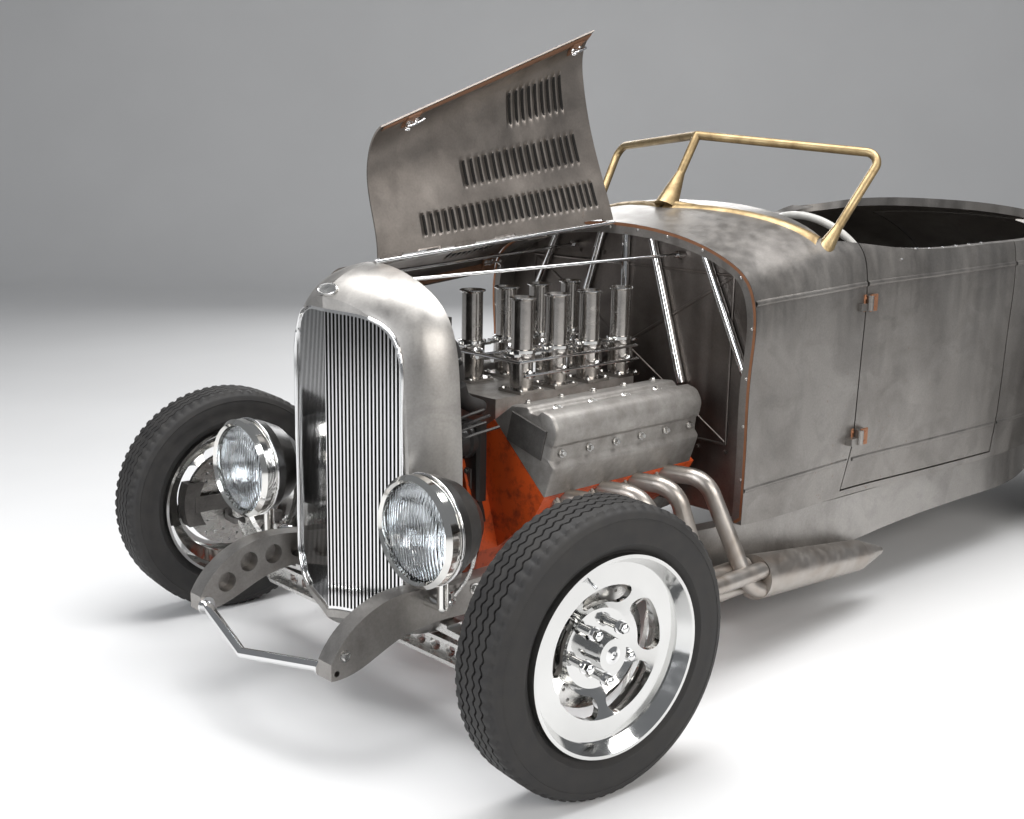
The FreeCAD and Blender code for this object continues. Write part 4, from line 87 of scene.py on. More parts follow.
class Shader:
    """A node material with short calls for the patterns that this car needs."""

    def __init__(self, name):
        self.material = bpy.data.materials.new(name)
        self.material.use_nodes = True
        self.tree = self.material.node_tree
        self.surface = self.tree.nodes["Principled BSDF"]
        self.place = self.tree.nodes.new("ShaderNodeTexCoord").outputs["Object"]

    def link(self, start, end):
        self.tree.links.new(start, end)

    def set(self, **values):
        for name, value in values.items():
            socket = self.surface.inputs[name.replace("_", " ")]
            if isinstance(value, (int, float)):
                socket.default_value = value
            elif isinstance(value, tuple):
                socket.default_value = (*value, 1.0)
            else:
                self.link(value, socket)
        return self

    def stretched(self, stretch):
        mapping = self.tree.nodes.new("ShaderNodeMapping")
        mapping.inputs["Scale"].default_value = stretch
        self.link(self.place, mapping.inputs["Vector"])
        return mapping.outputs["Vector"]

    def noise(self, scale, detail=4, stretch=(1, 1, 1), rough=0.55, warp=0):
        node = self.tree.nodes.new("ShaderNodeTexNoise")
        node.inputs["Scale"].default_value = scale
        node.inputs["Detail"].default_value = detail
        node.inputs["Roughness"].default_value = rough
        node.inputs["Distortion"].default_value = warp
        self.link(self.stretched(stretch), node.inputs["Vector"])
        return node.outputs["Fac"]

    def bands(self, scale, direction):
        node = self.tree.nodes.new("ShaderNodeTexWave")
        node.bands_direction = direction
        node.inputs["Scale"].default_value = scale
        self.link(self.place, node.inputs["Vector"])
        return node.outputs["Fac"]

    def ramp(self, factor, *stops):
        node = self.tree.nodes.new("ShaderNodeValToRGB")
        ramp = node.color_ramp
        while len(ramp.elements) < len(stops):
            ramp.elements.new(0.5)
        for element, (spot, shade) in zip(ramp.elements, stops):
            element.position = spot
            shade = shade if isinstance(shade, tuple) else (shade, shade, shade)
            element.color = (*shade, 1)
        self.link(factor, node.inputs["Fac"])
        return node.outputs["Color"]

    def mix(self, factor, first, second, blend="MIX"):
        node = self.tree.nodes.new("ShaderNodeMix")
        node.data_type = "RGBA"
        node.blend_type = blend
        for kind, value in (("Factor_Float", factor), ("A_Color", first), ("B_Color", second)):
            entry = next(s for s in node.inputs if s.identifier == kind)
            if isinstance(value, (int, float)):
                entry.default_value = value if kind == "Factor_Float" else (value, value, value, 1)
            elif isinstance(value, tuple):
                entry.default_value = (*value, 1)
            else:
                self.link(value, entry)
        return next(s for s in node.outputs if s.identifier == "Result_Color")

    def axis(self, letter):
        """One of the place's three coordinates, in metres."""
        split = self.tree.nodes.new("ShaderNodeSeparateXYZ")
        self.link(self.place, split.inputs["Vector"])
        return split.outputs[letter]

    def maths(self, operation, first, second=0.0):
        node = self.tree.nodes.new("ShaderNodeMath")
        node.operation = operation
        for socket, value in zip(node.inputs, (first, second)):
            if isinstance(value, (int, float)):
                socket.default_value = value
            else:
                self.link(value, socket)
        return node.outputs["Value"]

    def bump(self, height, strength, distance):
        node = self.tree.nodes.new("ShaderNodeBump")
        node.inputs["Strength"].default_value = strength
        node.inputs["Distance"].default_value = distance
        self.link(height, node.inputs["Height"])
        self.link(node.outputs["Normal"], self.surface.inputs["Normal"])
        return self


def bare_steel(name, light, dark, rust, streak_stretch=(26, 26, 1.6)):
    """Bare sheet steel: cloudy grey, dark runs, a brushed sheen and specks of rust."""
    shader = Shader(name)
    clouds = shader.noise(2.6, 5, warp=0.6)
    runs = shader.noise(1.0, 4, streak_stretch)
    fine = shader.noise(190, 3)
    specks = shader.noise(46, 6, rough=0.7)
    base = shader.ramp(clouds, (0.3, dark), (0.72, light))
    streaks = shader.ramp(runs, (0.34, 0.72), (0.66, 1.0))
    base = shader.mix(0.35, base, streaks, "MULTIPLY")
    blotches = shader.noise(7.5, 5, warp=1.2)
    base = shader.mix(0.6, base, shader.ramp(blotches, (0.40, 0.80), (0.52, 1.0)), "MULTIPLY")
    tone = shader.ramp(fine, (0.3, 0.82), (0.7, 1.08))
    base = shader.mix(0.5, base, tone, "MULTIPLY")
    rust_mask = shader.mix(1.0, shader.ramp(specks, (0.63, 0.0), (0.72, 1.0)),
                           shader.ramp(clouds, (0.5, 0.0), (0.62, rust)), "MULTIPLY")
    rust_shade = shader.ramp(specks, (0.6, (0.20, 0.085, 0.04)), (0.8, (0.11, 0.05, 0.03)))
    base = shader.mix(rust_mask, base, rust_shade)
    shader.set(Base_Color=base,
               Roughness=shader.ramp(runs, (0.3, 0.34), (0.7, 0.50)),
               Metallic=shader.ramp(rust_mask, (0.0, 0.92), (1.0, 0.15)))
    shader.bump(shader.noise(260, 2, (1, 1, 0.12)), 0.05, 0.0006)
    return shader.material


def polished(name, shade, rough_low, rough_high, scale=14):
    """Polished metal with faint smears that change its gloss."""
    shader = Shader(name)
    smears = shader.noise(scale, 5, (1, 1, 2.2), warp=0.8)
    tone = shader.ramp(shader.noise(scale * 0.4, 3), (0.3, 0.90), (0.7, 1.0))
    shader.set(Base_Color=shader.mix(1.0, shade, tone, "MULTIPLY"), Metallic=1.0,
               Roughness=shader.ramp(smears, (0.35, rough_low), (0.75, rough_high)))
    return shader.material


def cast_metal(name, light, dark, grain, rough=0.52, metallic=0.85):
    """Sand-cast metal: mottled, with a fine grain and darker hollows."""
    shader = Shader(name)
    mottle = shader.noise(18, 6, rough=0.65)
    grains = shader.noise(grain, 3)
    base = shader.ramp(mottle, (0.3, dark), (0.72, light))
    shader.set(Base_Color=base, Metallic=metallic,
               Roughness=shader.ramp(grains, (0.3, rough - 0.1), (0.7, rough + 0.12)))
    shader.bump(grains, 0.35, 0.0008)
    return shader.material


def enamel(name, shade, dark):
    """Gloss engine paint with a little dirt in it."""
    shader = Shader(name)
    dirt = shader.noise(24, 6, rough=0.7)
    base = shader.ramp(dirt, (0.30, dark), (0.52, shade))
    shader.set(Base_Color=base, Roughness=shader.ramp(dirt, (0.3, 0.55), (0.6, 0.28)),
               Coat_Weight=0.35)
    shader.bump(shader.noise(70, 3), 0.12, 0.001)
    return shader.material


def rubber(name):
    shader = Shader(name)
    dust = shader.noise(30, 5)
    base = shader.ramp(dust, (0.35, (0.014, 0.013, 0.013)), (0.75, (0.032, 0.030, 0.028)))
    shader.set(Base_Color=base, Roughness=shader.ramp(dust, (0.3, 0.62), (0.7, 0.80)))
    shader.bump(shader.noise(320, 2), 0.12, 0.0006)
    return shader.material


def raw_brass(name):
    """Brazed, sanded brass with brown tarnish."""
    shader = Shader(name)
    tarnish = shader.noise(16, 6, rough=0.65, warp=0.5)
    base = shader.ramp(tarnish, (0.28, (0.15, 0.105, 0.055)), (0.5, (0.32, 0.235, 0.125)),
                       (0.75, (0.43, 0.335, 0.19)))
    shader.set(Base_Color=base, Metallic=0.9,
               Roughness=shader.ramp(tarnish, (0.3, 0.55), (0.7, 0.36)))
    shader.bump(shader.noise(150, 3), 0.15, 0.0008)
    return shader.material


def fluted_glass(name):
    """Clear lamp glass with upright flutes pressed into it."""
    shader = Shader(name)
    shader.set(Base_Color=(0.93, 0.96, 0.98), Transmission_Weight=1.0, Roughness=0.03, IOR=1.45)
    shader.bump(shader.bands(34, "Y"), 0.55, 0.004)
    return shader.material


def heated_steel(name):
    """Header pipe steel: grey with straw and brown heat colour."""
    shader = Shader(name)
    heat = shader.noise(7, 4, warp=0.7)
    base = shader.ramp(heat, (0.25, (0.30, 0.25, 0.21)), (0.5, (0.46, 0.43, 0.40)),
                       (0.75, (0.36, 0.31, 0.27)))
    shader.set(Base_Color=base, Metallic=0.95,
               Roughness=shader.ramp(shader.noise(40, 4), (0.3, 0.30), (0.7, 0.46)))
    return shader.material


def radiator_core(name):
    shader = Shader(name)
    fins = shader.bands(120, "Z")
    base = shader.ramp(fins, (0.2, (0.012, 0.012, 0.012)), (0.8, (0.055, 0.052, 0.048)))
    shader.set(Base_Color=base, Roughness=0.5, Metallic=0.4)
    shader.bump(fins, 0.5, 0.001)
    return shader.material


def plain(name, shade, rough, metallic=0.0):
    """A quiet material for small pieces, with a slight change of tone."""
    shader = Shader(name)
    tone = shader.ramp(shader.noise(40, 4), (0.3, 0.85), (0.7, 1.0))
    shader.set(Base_Color=shader.mix(1.0, shade, tone, "MULTIPLY"), Metallic=metallic,
               Roughness=shader.ramp(shader.noise(60, 3), (0.3, rough * 0.85), (0.7, rough * 1.15)))
    return shader.material


def lamp_bucket(name):
    """Black enamel on the lamp's bowl; polished steel on its ring, foot and bar."""
    shader = Shader(name)
    low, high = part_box("head_lamps")
    foot_top = low[2] + (high[2] - low[2]) * LAMP_FOOT_SHARE
    ring_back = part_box("head_lamp_lenses")[0][0] - LAMP_RING_DEPTH
    mask = shader.maths("MULTIPLY", shader.maths("GREATER_THAN", shader.axis("Z"), foot_top),
                        shader.maths("LESS_THAN", shader.axis("X"), ring_back))
    black = shader.ramp(shader.noise(60, 4), (0.3, (0.018, 0.017, 0.016)), (0.7, (0.036, 0.034, 0.032)))
    shader.set(Base_Color=shader.mix(mask, (0.80, 0.79, 0.76), black),
               Metallic=shader.ramp(mask, (0.0, 1.0), (1.0, 0.0)),
               Roughness=shader.ramp(mask, (0.0, 0.10), (1.0, 0.30)))
    return shader.material


def grille_steel(name):
    """Polished fronts on the grille's bars, and painted shade on their sides, where the bars shade each
    other.
    """
    shader = Shader(name)
    low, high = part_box("grille_insert")
    spots = [v.co for v in nodes["grille_insert"].data.vertices if v.co.y > high[1] * 0.8]
    outer = max(spots, key=lambda spot: spot.x)
    fall = (high[0] - outer.x) / outer.y
    across = shader.maths("MULTIPLY", shader.maths("ABSOLUTE", shader.axis("Y")), fall)
    front = shader.maths("ADD", across, shader.axis("X"))
    # Sides set back from the bars' front plane get dark painted shade; the fronts stay polished steel.
    mask = shader.maths("LESS_THAN", front, high[0] - GRILLE_BAR_EDGE)
    shader.set(Base_Color=shader.mix(mask, (0.86, 0.86, 0.86), (0.10, 0.098, 0.095)), Metallic=1.0,
               Roughness=shader.ramp(mask, (0.0, 0.10), (1.0, 0.45)))
    return shader.material


BODY = bare_steel("bare_body_steel", (0.40, 0.38, 0.36), (0.24, 0.225, 0.21), 0.75)
SHELL = bare_steel("bare_shell_steel", (0.50, 0.48, 0.455), (0.33, 0.315, 0.30), 0.2)
DOOR = bare_steel("bare_door_steel", (0.38, 0.36, 0.34), (0.22, 0.205, 0.19), 0.9)
HOOD = bare_steel("bare_hood_steel", (0.35, 0.315, 0.285), (0.22, 0.195, 0.175), 0.5, (9, 2.2, 9))
INSIDE = bare_steel("inner_steel", (0.28, 0.25, 0.23), (0.11, 0.095, 0.085), 1.0)
FRAME = bare_steel("frame_rail_steel", (0.46, 0.44, 0.42), (0.30, 0.285, 0.27), 0.15)
CHROME = polished("polished_steel", (0.86, 0.86, 0.86), 0.05, 0.16)
ALLOY = polished("polished_alloy", (0.72, 0.72, 0.71), 0.05, 0.17)
BRUSHED = polished("brushed_alloy", (0.70, 0.69, 0.67), 0.22, 0.38, 26)
SATIN = polished("satin_tube", (0.50, 0.475, 0.45), 0.16, 0.30, 20)
CAST = cast_metal("cast_alloy", (0.40, 0.385, 0.365), (0.23, 0.215, 0.20), 420)
IRON = cast_metal("dark_iron", (0.20, 0.19, 0.18), (0.10, 0.095, 0.09), 260, 0.55, 0.8)
ORANGE = enamel("orange_engine_enamel", (0.60, 0.085, 0.015), (0.16, 0.025, 0.01))
RUBBER = rubber("tyre_rubber")
BRASS = raw_brass("raw_brass")
GLASS = fluted_glass("fluted_lamp_glass")
PIPE = heated_steel("heated_pipe_steel")
CORE = radiator_core("radiator_core")
GRIP = plain("pale_wheel_rim", (0.55, 0.54, 0.51), 0.35)
COPPER = plain("copper_toned_steel", (0.42, 0.20, 0.11), 0.42, 0.8)
# Near-black painted shade for the louvre risers, standing for the shade seen through the hood's openings.
PAINTED_SHADE = plain("painted_louvre_shade", (0.02, 0.019, 0.018), 0.7)
DARK = plain("satin_black", (0.030, 0.028, 0.027), 0.32)
BUCKET = lamp_bucket("lamp_bucket")
GRILLE = grille_steel("grille_bars_painted_shade")
RUST = plain("brown_rust", (0.20, 0.10, 0.055), 0.7, 0.2)

NODE_MATERIALS = {
    "frame": FRAME, "front_spreader_bar": CHROME, "front_axle": BRUSHED,
    "front_suspension": BRUSHED, "rear_axle": IRON, "driveshaft": IRON, "gearbox": CAST,
    "engine_block": ORANGE, "valve_covers": CAST, "intake_manifold": CAST,
    "intake_stacks": SATIN, "exhaust_headers": PIPE, "grille_shell": SHELL,
    "grille_insert": GRILLE, "radiator": CORE, "head_lamps": BUCKET,
    "head_lamp_lenses": GLASS, "door_left": DOOR, "door_right": DOOR, "deck_lid": BODY,
    "firewall": INSIDE, "floor_pan": INSIDE, "engine_bay_braces": CHROME, "cowl": BODY,
    "rear_body": BODY, "windshield_frame": BRASS, "steering_wheel": GRIP,
    "steering_column": BRUSHED, "hood_left": HOOD, "hood_right": HOOD,
    "hood_hinge_rod": CHROME, "fuel_tank": BODY, "tie_rod": BRUSHED,
    "knuckle_left": IRON, "knuckle_right": IRON,
    "brake_disc_front_left": BRUSHED, "brake_disc_front_right": BRUSHED,
    "wheel_front_left": ALLOY, "wheel_front_right": ALLOY,
    "wheel_rear_left": ALLOY, "wheel_rear_right": ALLOY,
    "tyre_front_left": RUBBER, "tyre_front_right": RUBBER,
    "tyre_rear_left": RUBBER, "tyre_rear_right": RUBBER,
}


def dress_nodes():
    for name, node in nodes.items():
        node.data.materials.clear()
        node.data.materials.append(NODE_MATERIALS[name])


# Making pieces

SIDES = ((1, "left"), (-1, "right"))
FORWARD = Vector((1, 0, 0))
LEFT = Vector((0, 1, 0))
UP = Vector((0, 0, 1))
# Looks at the car start this far out, in mm.
SIDE_REACH = 1200
TOP_REACH = 1600


def at(x, y, z):
    """A place or a step given in millimetres."""
    return Vector((x, y, z)) * MM


def box_mm(name):
    """The low and the high corner of a CAD node, in millimetres."""
    return [Vector(corner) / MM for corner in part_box(name)]


def piece(name, mesh, material, body, smooth=True):
    """A new object from a bmesh, riding on a CAD body."""
    data = bpy.data.meshes.new(name)
    mesh.normal_update()
    mesh.to_mesh(data)
    mesh.free()
    shape = bpy.data.objects.new(name, data)
    bpy.context.scene.collection.objects.link(shape)
    for entry in material if isinstance(material, list) else [material]:
        data.materials.append(entry)
    if smooth:
        data.shade_smooth()
        data.set_sharp_from_angle(angle=SMOOTH_ANGLE)
    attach(shape, body)
    return shape


def bridge(mesh, rows, around=True):
    """Faces between neighbouring rows of corners, which close on themselves or end."""
    for first, second in zip(rows, rows[1:]):
        for a in range(len(first) - (0 if around else 1)):
            b = (a + 1) % len(first)
            mesh.faces.new((first[a], first[b], second[b], second[a]))


def cap(mesh, rows):
    """Faces over the first and the last row."""
    mesh.faces.new(rows[-1])
    mesh.faces.new(list(reversed(rows[0])))


def even_normals(mesh):
    bmesh.ops.recalc_face_normals(mesh, faces=mesh.faces)


def frame_of(normal, hint=UP):
    """Three unit vectors, the last along a normal."""
    normal = normal.normalized()
    if abs(normal.dot(hint)) > 0.95:
        hint = FORWARD
    side = hint.cross(normal).normalized()
    return side, normal.cross(side), normal


def circle(centre, radius, count, first=FORWARD, second=LEFT):
    """Evenly spaced places round a centre, with the radius in mm."""
    turns = [2 * math.pi * step / count for step in range(count)]
    return [centre + (first * math.cos(turn) + second * math.sin(turn)) * radius * MM
            for turn in turns]


def add_turned(mesh, profile, place, normal, segments, capped=True):
    """Turns (radius, height) points, in mm, round a line from place along normal."""
    side, across, along = frame_of(normal)
    rows = []
    for radius, height in profile:
        ring = circle(place + along * height * MM, radius, segments, side, across)
        rows.append([mesh.verts.new(spot) for spot in ring])
    bridge(mesh, rows)
    if capped:
        cap(mesh, rows)


def add_bolt(mesh, place, normal, radius, height=None):
    """A hexagon head with a chamfer, on a round washer, with its sizes in mm."""
    height = height or radius * 1.1
    base = radius * 0.3
    add_turned(mesh, [(radius * 1.45, -base), (radius * 1.45, base)], place, normal, 16)
    add_turned(mesh, [(radius, base), (radius, height * 0.85), (radius * 0.84, height)],
               place, normal, 6)


def add_slab(mesh, place, axes, size):
    """A block with a chamfered top: base centre at place, axes of width, depth and height, mm."""
    side, across, along = axes
    wide, deep, high = size
    chamfer = min(size) * 0.25
    rows = []
    for height, less in ((0, 0), (high - chamfer, 0), (high, chamfer)):
        row = []
        for a, b in ((-1, -1), (1, -1), (1, 1), (-1, 1)):
            corner = side * a * (wide / 2 - less) + across * b * (deep / 2 - less) + along * height
            row.append(mesh.verts.new(place + corner * MM))
        rows.append(row)
    bridge(mesh, rows)
    cap(mesh, rows)


def add_tube(mesh, path, radius, segments=10, closed=False, flat=1.0, hint=UP):
    """Sweeps a round or flattened section, with its radius in mm, along a path of places."""
    rows = []
    count = len(path)
    for step, spot in enumerate(path):
        before = path[step - 1] if closed or step else path[0]
        after = path[(step + 1) % count] if closed or step < count - 1 else path[-1]
        side, across, along = frame_of(after - before, hint)
        ring = circle(spot, radius, segments, side, across * flat)
        rows.append([mesh.verts.new(corner) for corner in ring])
    bridge(mesh, rows + rows[:1] if closed else rows)
    if not closed:
        cap(mesh, rows)


def smooth_path(points, steps=8):
    """A Catmull-Rom curve through a few places."""
    ends = [points[0] * 2 - points[1]] + points + [points[-1] * 2 - points[-2]]
    path = []
    for a, b, c, d in zip(ends, ends[1:], ends[2:], ends[3:]):
        for step in range(steps):
            t = step / steps
            path.append(0.5 * (2 * b + (c - a) * t + (2 * a - 5 * b + 4 * c - d) * t * t
                               + (3 * b - a - 3 * c + d) * t * t * t))
    return path + [points[-1]]


def node_tree(name, matrix=Matrix.Identity(4)):
    """A search tree over a CAD node's faces, moved by a matrix."""
    data = nodes[name].data
    return BVHTree.FromPolygons([matrix @ v.co for v in data.vertices],
                                [tuple(p.vertices) for p in data.polygons])


def seen_from_side(tree, x, z, side):
    """Where a line of sight from beside the car meets a tree, and the normal there."""
    return tree.ray_cast(at(x, side * SIDE_REACH, z), -side * LEFT)[:2]


def wheel_matrix(name, side, end):
    """The place of a wheel, turned with its outer face along +Y."""
    low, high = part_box(name)
    turn = Matrix.Rotation(REST_STEER if end == "front" else 0, 4, "Z")
    flip = Matrix.Rotation(0 if side > 0 else math.pi, 4, "Z")
    return Matrix.Translation((Vector(low) + Vector(high)) / 2) @ turn @ flip


# Tyres, in mm

TREAD_STEPS = 360
ZIGZAG_STEPS = 5
ZIGZAG_REACH = 3.4
ZIGZAG_STEEPNESS = 1.6
GROOVE_DEPTH = 6.5
GROOVE_HALF = 2.3
GROOVE_PLACE_SHARES = (-0.60, -0.20, 0.20, 0.60)
# Across one groove: the share of its half width, and of its depth.
GROOVE_SECTION = ((-1.25, 0), (-0.7, 1), (0.7, 1), (1.25, 0))
CROWN_FALL = 1.2
NOTCH_DEPTH = 4.5
NOTCH_STEPS = 2
RIM_LIPS = {"front": 209, "rear": 216}
# Radius, half width and half of the tread's width.
TYRE_SIZES = {"front": (305, 70, 52), "rear": (360, 105, 84)}
# The sidewall: out from the rim's lip or in from the radius, then in from the half width.
BEAD_STEPS = ((-15, 22), (1, 19), (10, 8), (18, 3.4), (20, 1.2), (24, 1.2), (26, 2.2))
WALL_INSET = 0.4
SHOULDER_STEPS = ((34, 1.6), (26, 3.2), (25, 2.2), (15, 6), (13, 7))
# The tread's edge: in from the radius, past the tread's half width, and whether it is notched.
EDGE_STEPS = ((9, 7, 0), (5, 2, 1), (2, 0, 1), (0.6, -5, 1))


def tyre_profile(radius, half_width, tread, lip):
    """(radius, y, zigzag, notched) from one bead across the tread to the other."""
    half = [(lip + out, half_width - inset, 0, 0) for out, inset in BEAD_STEPS]
    half.append(((lip + radius) / 2, half_width - WALL_INSET, 0, 0))
    half += [(radius - fall, half_width - inset, 0, 0) for fall, inset in SHOULDER_STEPS]
    half += [(radius - fall, tread + past, 0, notched) for fall, past, notched in EDGE_STEPS]
    outline = [(r, -y, zigzag, notched) for r, y, zigzag, notched in half]
    for share in GROOVE_PLACE_SHARES:
        crown = radius - abs(share) * CROWN_FALL
        for across, deep in GROOVE_SECTION:
            outline.append((crown - deep * GROOVE_DEPTH, share * tread + across * GROOVE_HALF, 1, 0))
    return outline + half[::-1]


def make_tyre(end, side, word):
    """A tyre whose grooves zigzag round it, with notches along both shoulders."""
    node = "tyre_%s_%s" % (end, word)
    profile = tyre_profile(*TYRE_SIZES[end], RIM_LIPS[end])
    place = wheel_matrix(node, side, end)
    mesh = bmesh.new()
    rings = []
    for step in range(TREAD_STEPS):
        turn = 2 * math.pi * step / TREAD_STEPS
        phase = step % ZIGZAG_STEPS / ZIGZAG_STEPS
        swing = max(-1, min(1, ZIGZAG_STEEPNESS * (4 * abs(phase - 0.5) - 1))) * ZIGZAG_REACH
        notch = NOTCH_DEPTH if step % ZIGZAG_STEPS < NOTCH_STEPS else 0
        ring = []
        for radius, y, zigzag, notched in profile:
            reach = radius - notch * notched
            ring.append(mesh.verts.new(place @ at(
                reach * math.sin(turn), y + swing * zigzag, reach * math.cos(turn))))
        rings.append(ring)
    bridge(mesh, rings + rings[:1], False)
    even_normals(mesh)
    shape = piece("tread_" + node, mesh, RUBBER, "%s_wheel_%s" % (end, word))
    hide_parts(node)


def make_tyres():
    for side, word in SIDES:
        for end in TYRE_SIZES:
            make_tyre(end, side, word)


# Hood halves with louvres

HOOD_ALONG = 420
HOOD_ACROSS = 66
HOOD_SHEET = 4 * MM
HOOD_LEFT_CLOSING = math.radians(115)
HOOD_CENTRE_DROP = 300 * MM
HOOD_LOOK_FROM = 1200 * MM
HOOD_END_INSET = 0.4 * MM
HOOD_NOSE_DEPTH = 36 * MM
HOOD_START_ANGLE = math.radians(1.4)
HOOD_EDGE_ANGLES = (math.radians(30), math.radians(110))
HOOD_EDGE_MARGIN = math.radians(0.05)
HOOD_EDGE_TRIALS = 14
# How far the front edge falls back for each unit out from the middle.
HOOD_FRONT_SWEEP = 34 / 268
HOOD_USUAL_REACH = 300 * MM
HOOD_USUAL_WIDTH = 200 * MM
LOUVRE_RISE = 9 * MM
# Shares of a louvre's pitch: where it is highest, and where it ends at its mouth.
LOUVRE_CREST = 0.62
LOUVRE_MOUTH = 0.70
LOUVRE_FADE = 7
# Each row: start and end along the hood, start and end across it, number of louvres.
LOUVRE_ROWS = ((0.17, 0.95, 0.10, 0.27, 27), (0.37, 0.92, 0.385, 0.55, 17),
               (0.60, 0.89, 0.665, 0.825, 9))


def louvre_height(along, across):
    """How far the sheet is pressed out at a place given by shares of the hood."""
    for start, end, low, high, count in LOUVRE_ROWS:
        phase = (along - start) / (end - start) * count % 1
        if start < along < end and low < across < high and phase < LOUVRE_MOUTH:
            fade = min(1, min(across - low, high - across) / (high - low) * LOUVRE_FADE)
            rise = math.sin(RIGHT_TURN * min(1, phase / LOUVRE_CREST))
            return LOUVRE_RISE * rise * math.sqrt(fade)
    return 0


class HoodSkin:
    """A hood half turned shut, whose outer skin is read by shares along and across it."""

    def __init__(self, name, closing, side):
        joint = joints[name + "_fold"]
        pin = Vector(joint["pos_m"])
        turn = Matrix.Rotation(closing, 4, Vector(joint["axis"]))
        about = Matrix.Translation(pin) @ turn @ Matrix.Translation(-pin)
        lengths = [(about @ v.co).x for v in nodes[name].data.vertices]
        self.front = max(lengths) - HOOD_END_INSET
        self.rear = min(lengths) + HOOD_END_INSET
        self.centre_z = pin.z - HOOD_CENTRE_DROP
        self.side = side
        self.tree = node_tree(name, about)
        self.back = about.inverted()
        self.edges = {}

    def outward(self, angle):
        return Vector((0, self.side * math.sin(angle), math.cos(angle)))

    def look(self, x, angle):
        out = self.outward(angle)
        return self.tree.ray_cast(Vector((x, 0, self.centre_z)) + out * HOOD_LOOK_FROM, -out)[:2]

    def edge_angle(self, x):
        """The angle of the lower edge at one place along the hood."""
        key = round(x, 3)
        if key not in self.edges:
            low, high = HOOD_EDGE_ANGLES
            for trial in range(HOOD_EDGE_TRIALS):
                middle = (low + high) / 2
                if self.look(x, middle)[0] is None:
                    high = middle
                else:
                    low = middle
            self.edges[key] = low - HOOD_EDGE_MARGIN
        return self.edges[key]

    def angle(self, x, across):
        return HOOD_START_ANGLE + across * (self.edge_angle(x) - HOOD_START_ANGLE)

    def spot(self, along, across):
        """A place on the outer skin and the normal there, from front to rear and hinge to edge."""
        nose = self.front - HOOD_NOSE_DEPTH
        start = self.front
        for trial in range(3):
            x = min(start, nose)
            hit = self.look(x, self.angle(x, across))[0]
            wide = HOOD_USUAL_WIDTH if hit is None else abs(hit.y)
            start = self.front - wide * HOOD_FRONT_SWEEP
        x = start + (self.rear - start) * along
        angle = self.angle(max(self.rear, min(x, nose)), across)
        out = self.outward(angle)
        hit, normal = self.look(x, angle)
        if hit is None:
            hit, normal = self.look(x - 2 * MM, angle * 0.99)
        if hit is None:
            near = Vector((x, 0, self.centre_z)) + out * HOOD_USUAL_REACH
            hit, normal = self.tree.find_nearest(near)[:2]
        return hit, normal if normal.dot(out) > 0 else -normal


def make_hood(name, skin):
    """The hood half as a sheet with its louvres pressed out, and painted shade on the risers where they
    open.
    """
    mesh = bmesh.new()
    outer, inner, lifts = [], [], []
    for i in range(HOOD_ALONG + 1):
        along = i / HOOD_ALONG
        lifts.append([louvre_height(along, j / HOOD_ACROSS) for j in range(HOOD_ACROSS + 1)])
        outer.append([])
        inner.append([])
        for j, lift in enumerate(lifts[i]):
            spot, normal = skin.spot(along, j / HOOD_ACROSS)
            for rows, rise in ((outer, lift), (inner, lift - HOOD_SHEET)):
                rows[i].append(mesh.verts.new(skin.back @ (spot + normal * rise)))
    for rows in (outer, inner):
        for i in range(HOOD_ALONG):
            for a in range(HOOD_ACROSS):
                face = mesh.faces.new((rows[i][a], rows[i][a + 1], rows[i + 1][a + 1], rows[i + 1][a]))
                steep = abs(sum(lifts[i][a:a + 2]) - sum(lifts[i + 1][a:a + 2]))
                # Steep riser faces take the painted shade (material 1) for the dark louvre openings.
                face.material_index = 1 if steep > LOUVRE_RISE else 0
    for edge in (0, -1):
        bridge(mesh, [outer[edge], inner[edge]], False)
        bridge(mesh, [[row[edge] for row in rows] for rows in (outer, inner)], False)
    even_normals(mesh)
    shape = piece("louvred_" + name, mesh, [HOOD, PAINTED_SHADE], name)
    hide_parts(name)


EDGE_STRIP_STEPS = 60
# The stiffening strip inside the lower edge: share across the hood, depth in mm.
EDGE_STRIP = ((0.945, 5), (0.95, 7.5), (0.985, 7.5), (0.992, 5))
LATCH_ALONG = (0.14, 0.93)
LATCH_ACROSS = 0.93
LATCH_EDGE = 0.985
LATCH_PLATE = (46, 42, 6)
LATCH_POST = ((7, 0), (7, 10), (5, 12))
# The hook's route: inward from the plate, across it, and toward the edge.
LATCH_HOOK = ((8, -34, 0), (11, 0, 0), (9, 26, 0), (16, 40, 6), (22, 34, 12))


def make_hood_trim(name, skin):
    """The stiffening strip inside the hood's lower edge, and its two latch brackets."""
    mesh = bmesh.new()
    rows = []
    for step in range(EDGE_STRIP_STEPS + 1):
        row = []
        for across, depth in EDGE_STRIP:
            spot, normal = skin.spot(0.01 + 0.98 * step / EDGE_STRIP_STEPS, across)
            row.append(mesh.verts.new(skin.back @ (spot - normal * depth * MM)))
        rows.append(row)
    bridge(mesh, rows, False)
    even_normals(mesh)
    piece("edge_strip_" + name, mesh, RUST, name)
    plates = bmesh.new()
    hooks = bmesh.new()
    for along in LATCH_ALONG:
        spot, normal = skin.spot(along, LATCH_ACROSS)
        edge = skin.spot(along, LATCH_EDGE)[0]
        base = skin.back @ (spot - normal * EDGE_STRIP[0][1] * MM)
        inward = (skin.back.to_3x3() @ -normal).normalized()
        to_edge = (skin.back @ edge - skin.back @ spot).normalized()
        across = inward.cross(to_edge).normalized()
        add_slab(plates, base, (across, to_edge, inward), LATCH_PLATE)
        face = base + inward * LATCH_PLATE[2] * MM
        for shift in (14, -14):
            add_bolt(hooks, face + across * shift * MM, inward, 5)
        add_tube(hooks, smooth_path([face + (inward * a + across * b + to_edge * c) * MM
                                     for a, b, c in LATCH_HOOK]), 3.4)
        add_turned(hooks, LATCH_POST, face - across * 2 * MM, inward, 16)
    piece("latch_plates_" + name, plates, RUST, name)
    piece("latch_hooks_" + name, hooks, CHROME, name)


def make_hoods():
    for name, closing, side in (("hood_left", HOOD_LEFT_CLOSING, 1), ("hood_right", 0, -1)):
        skin = HoodSkin(name, closing, side)
        make_hood(name, skin)
        make_hood_trim(name, skin)


# Mouldings on the body sides, in mm

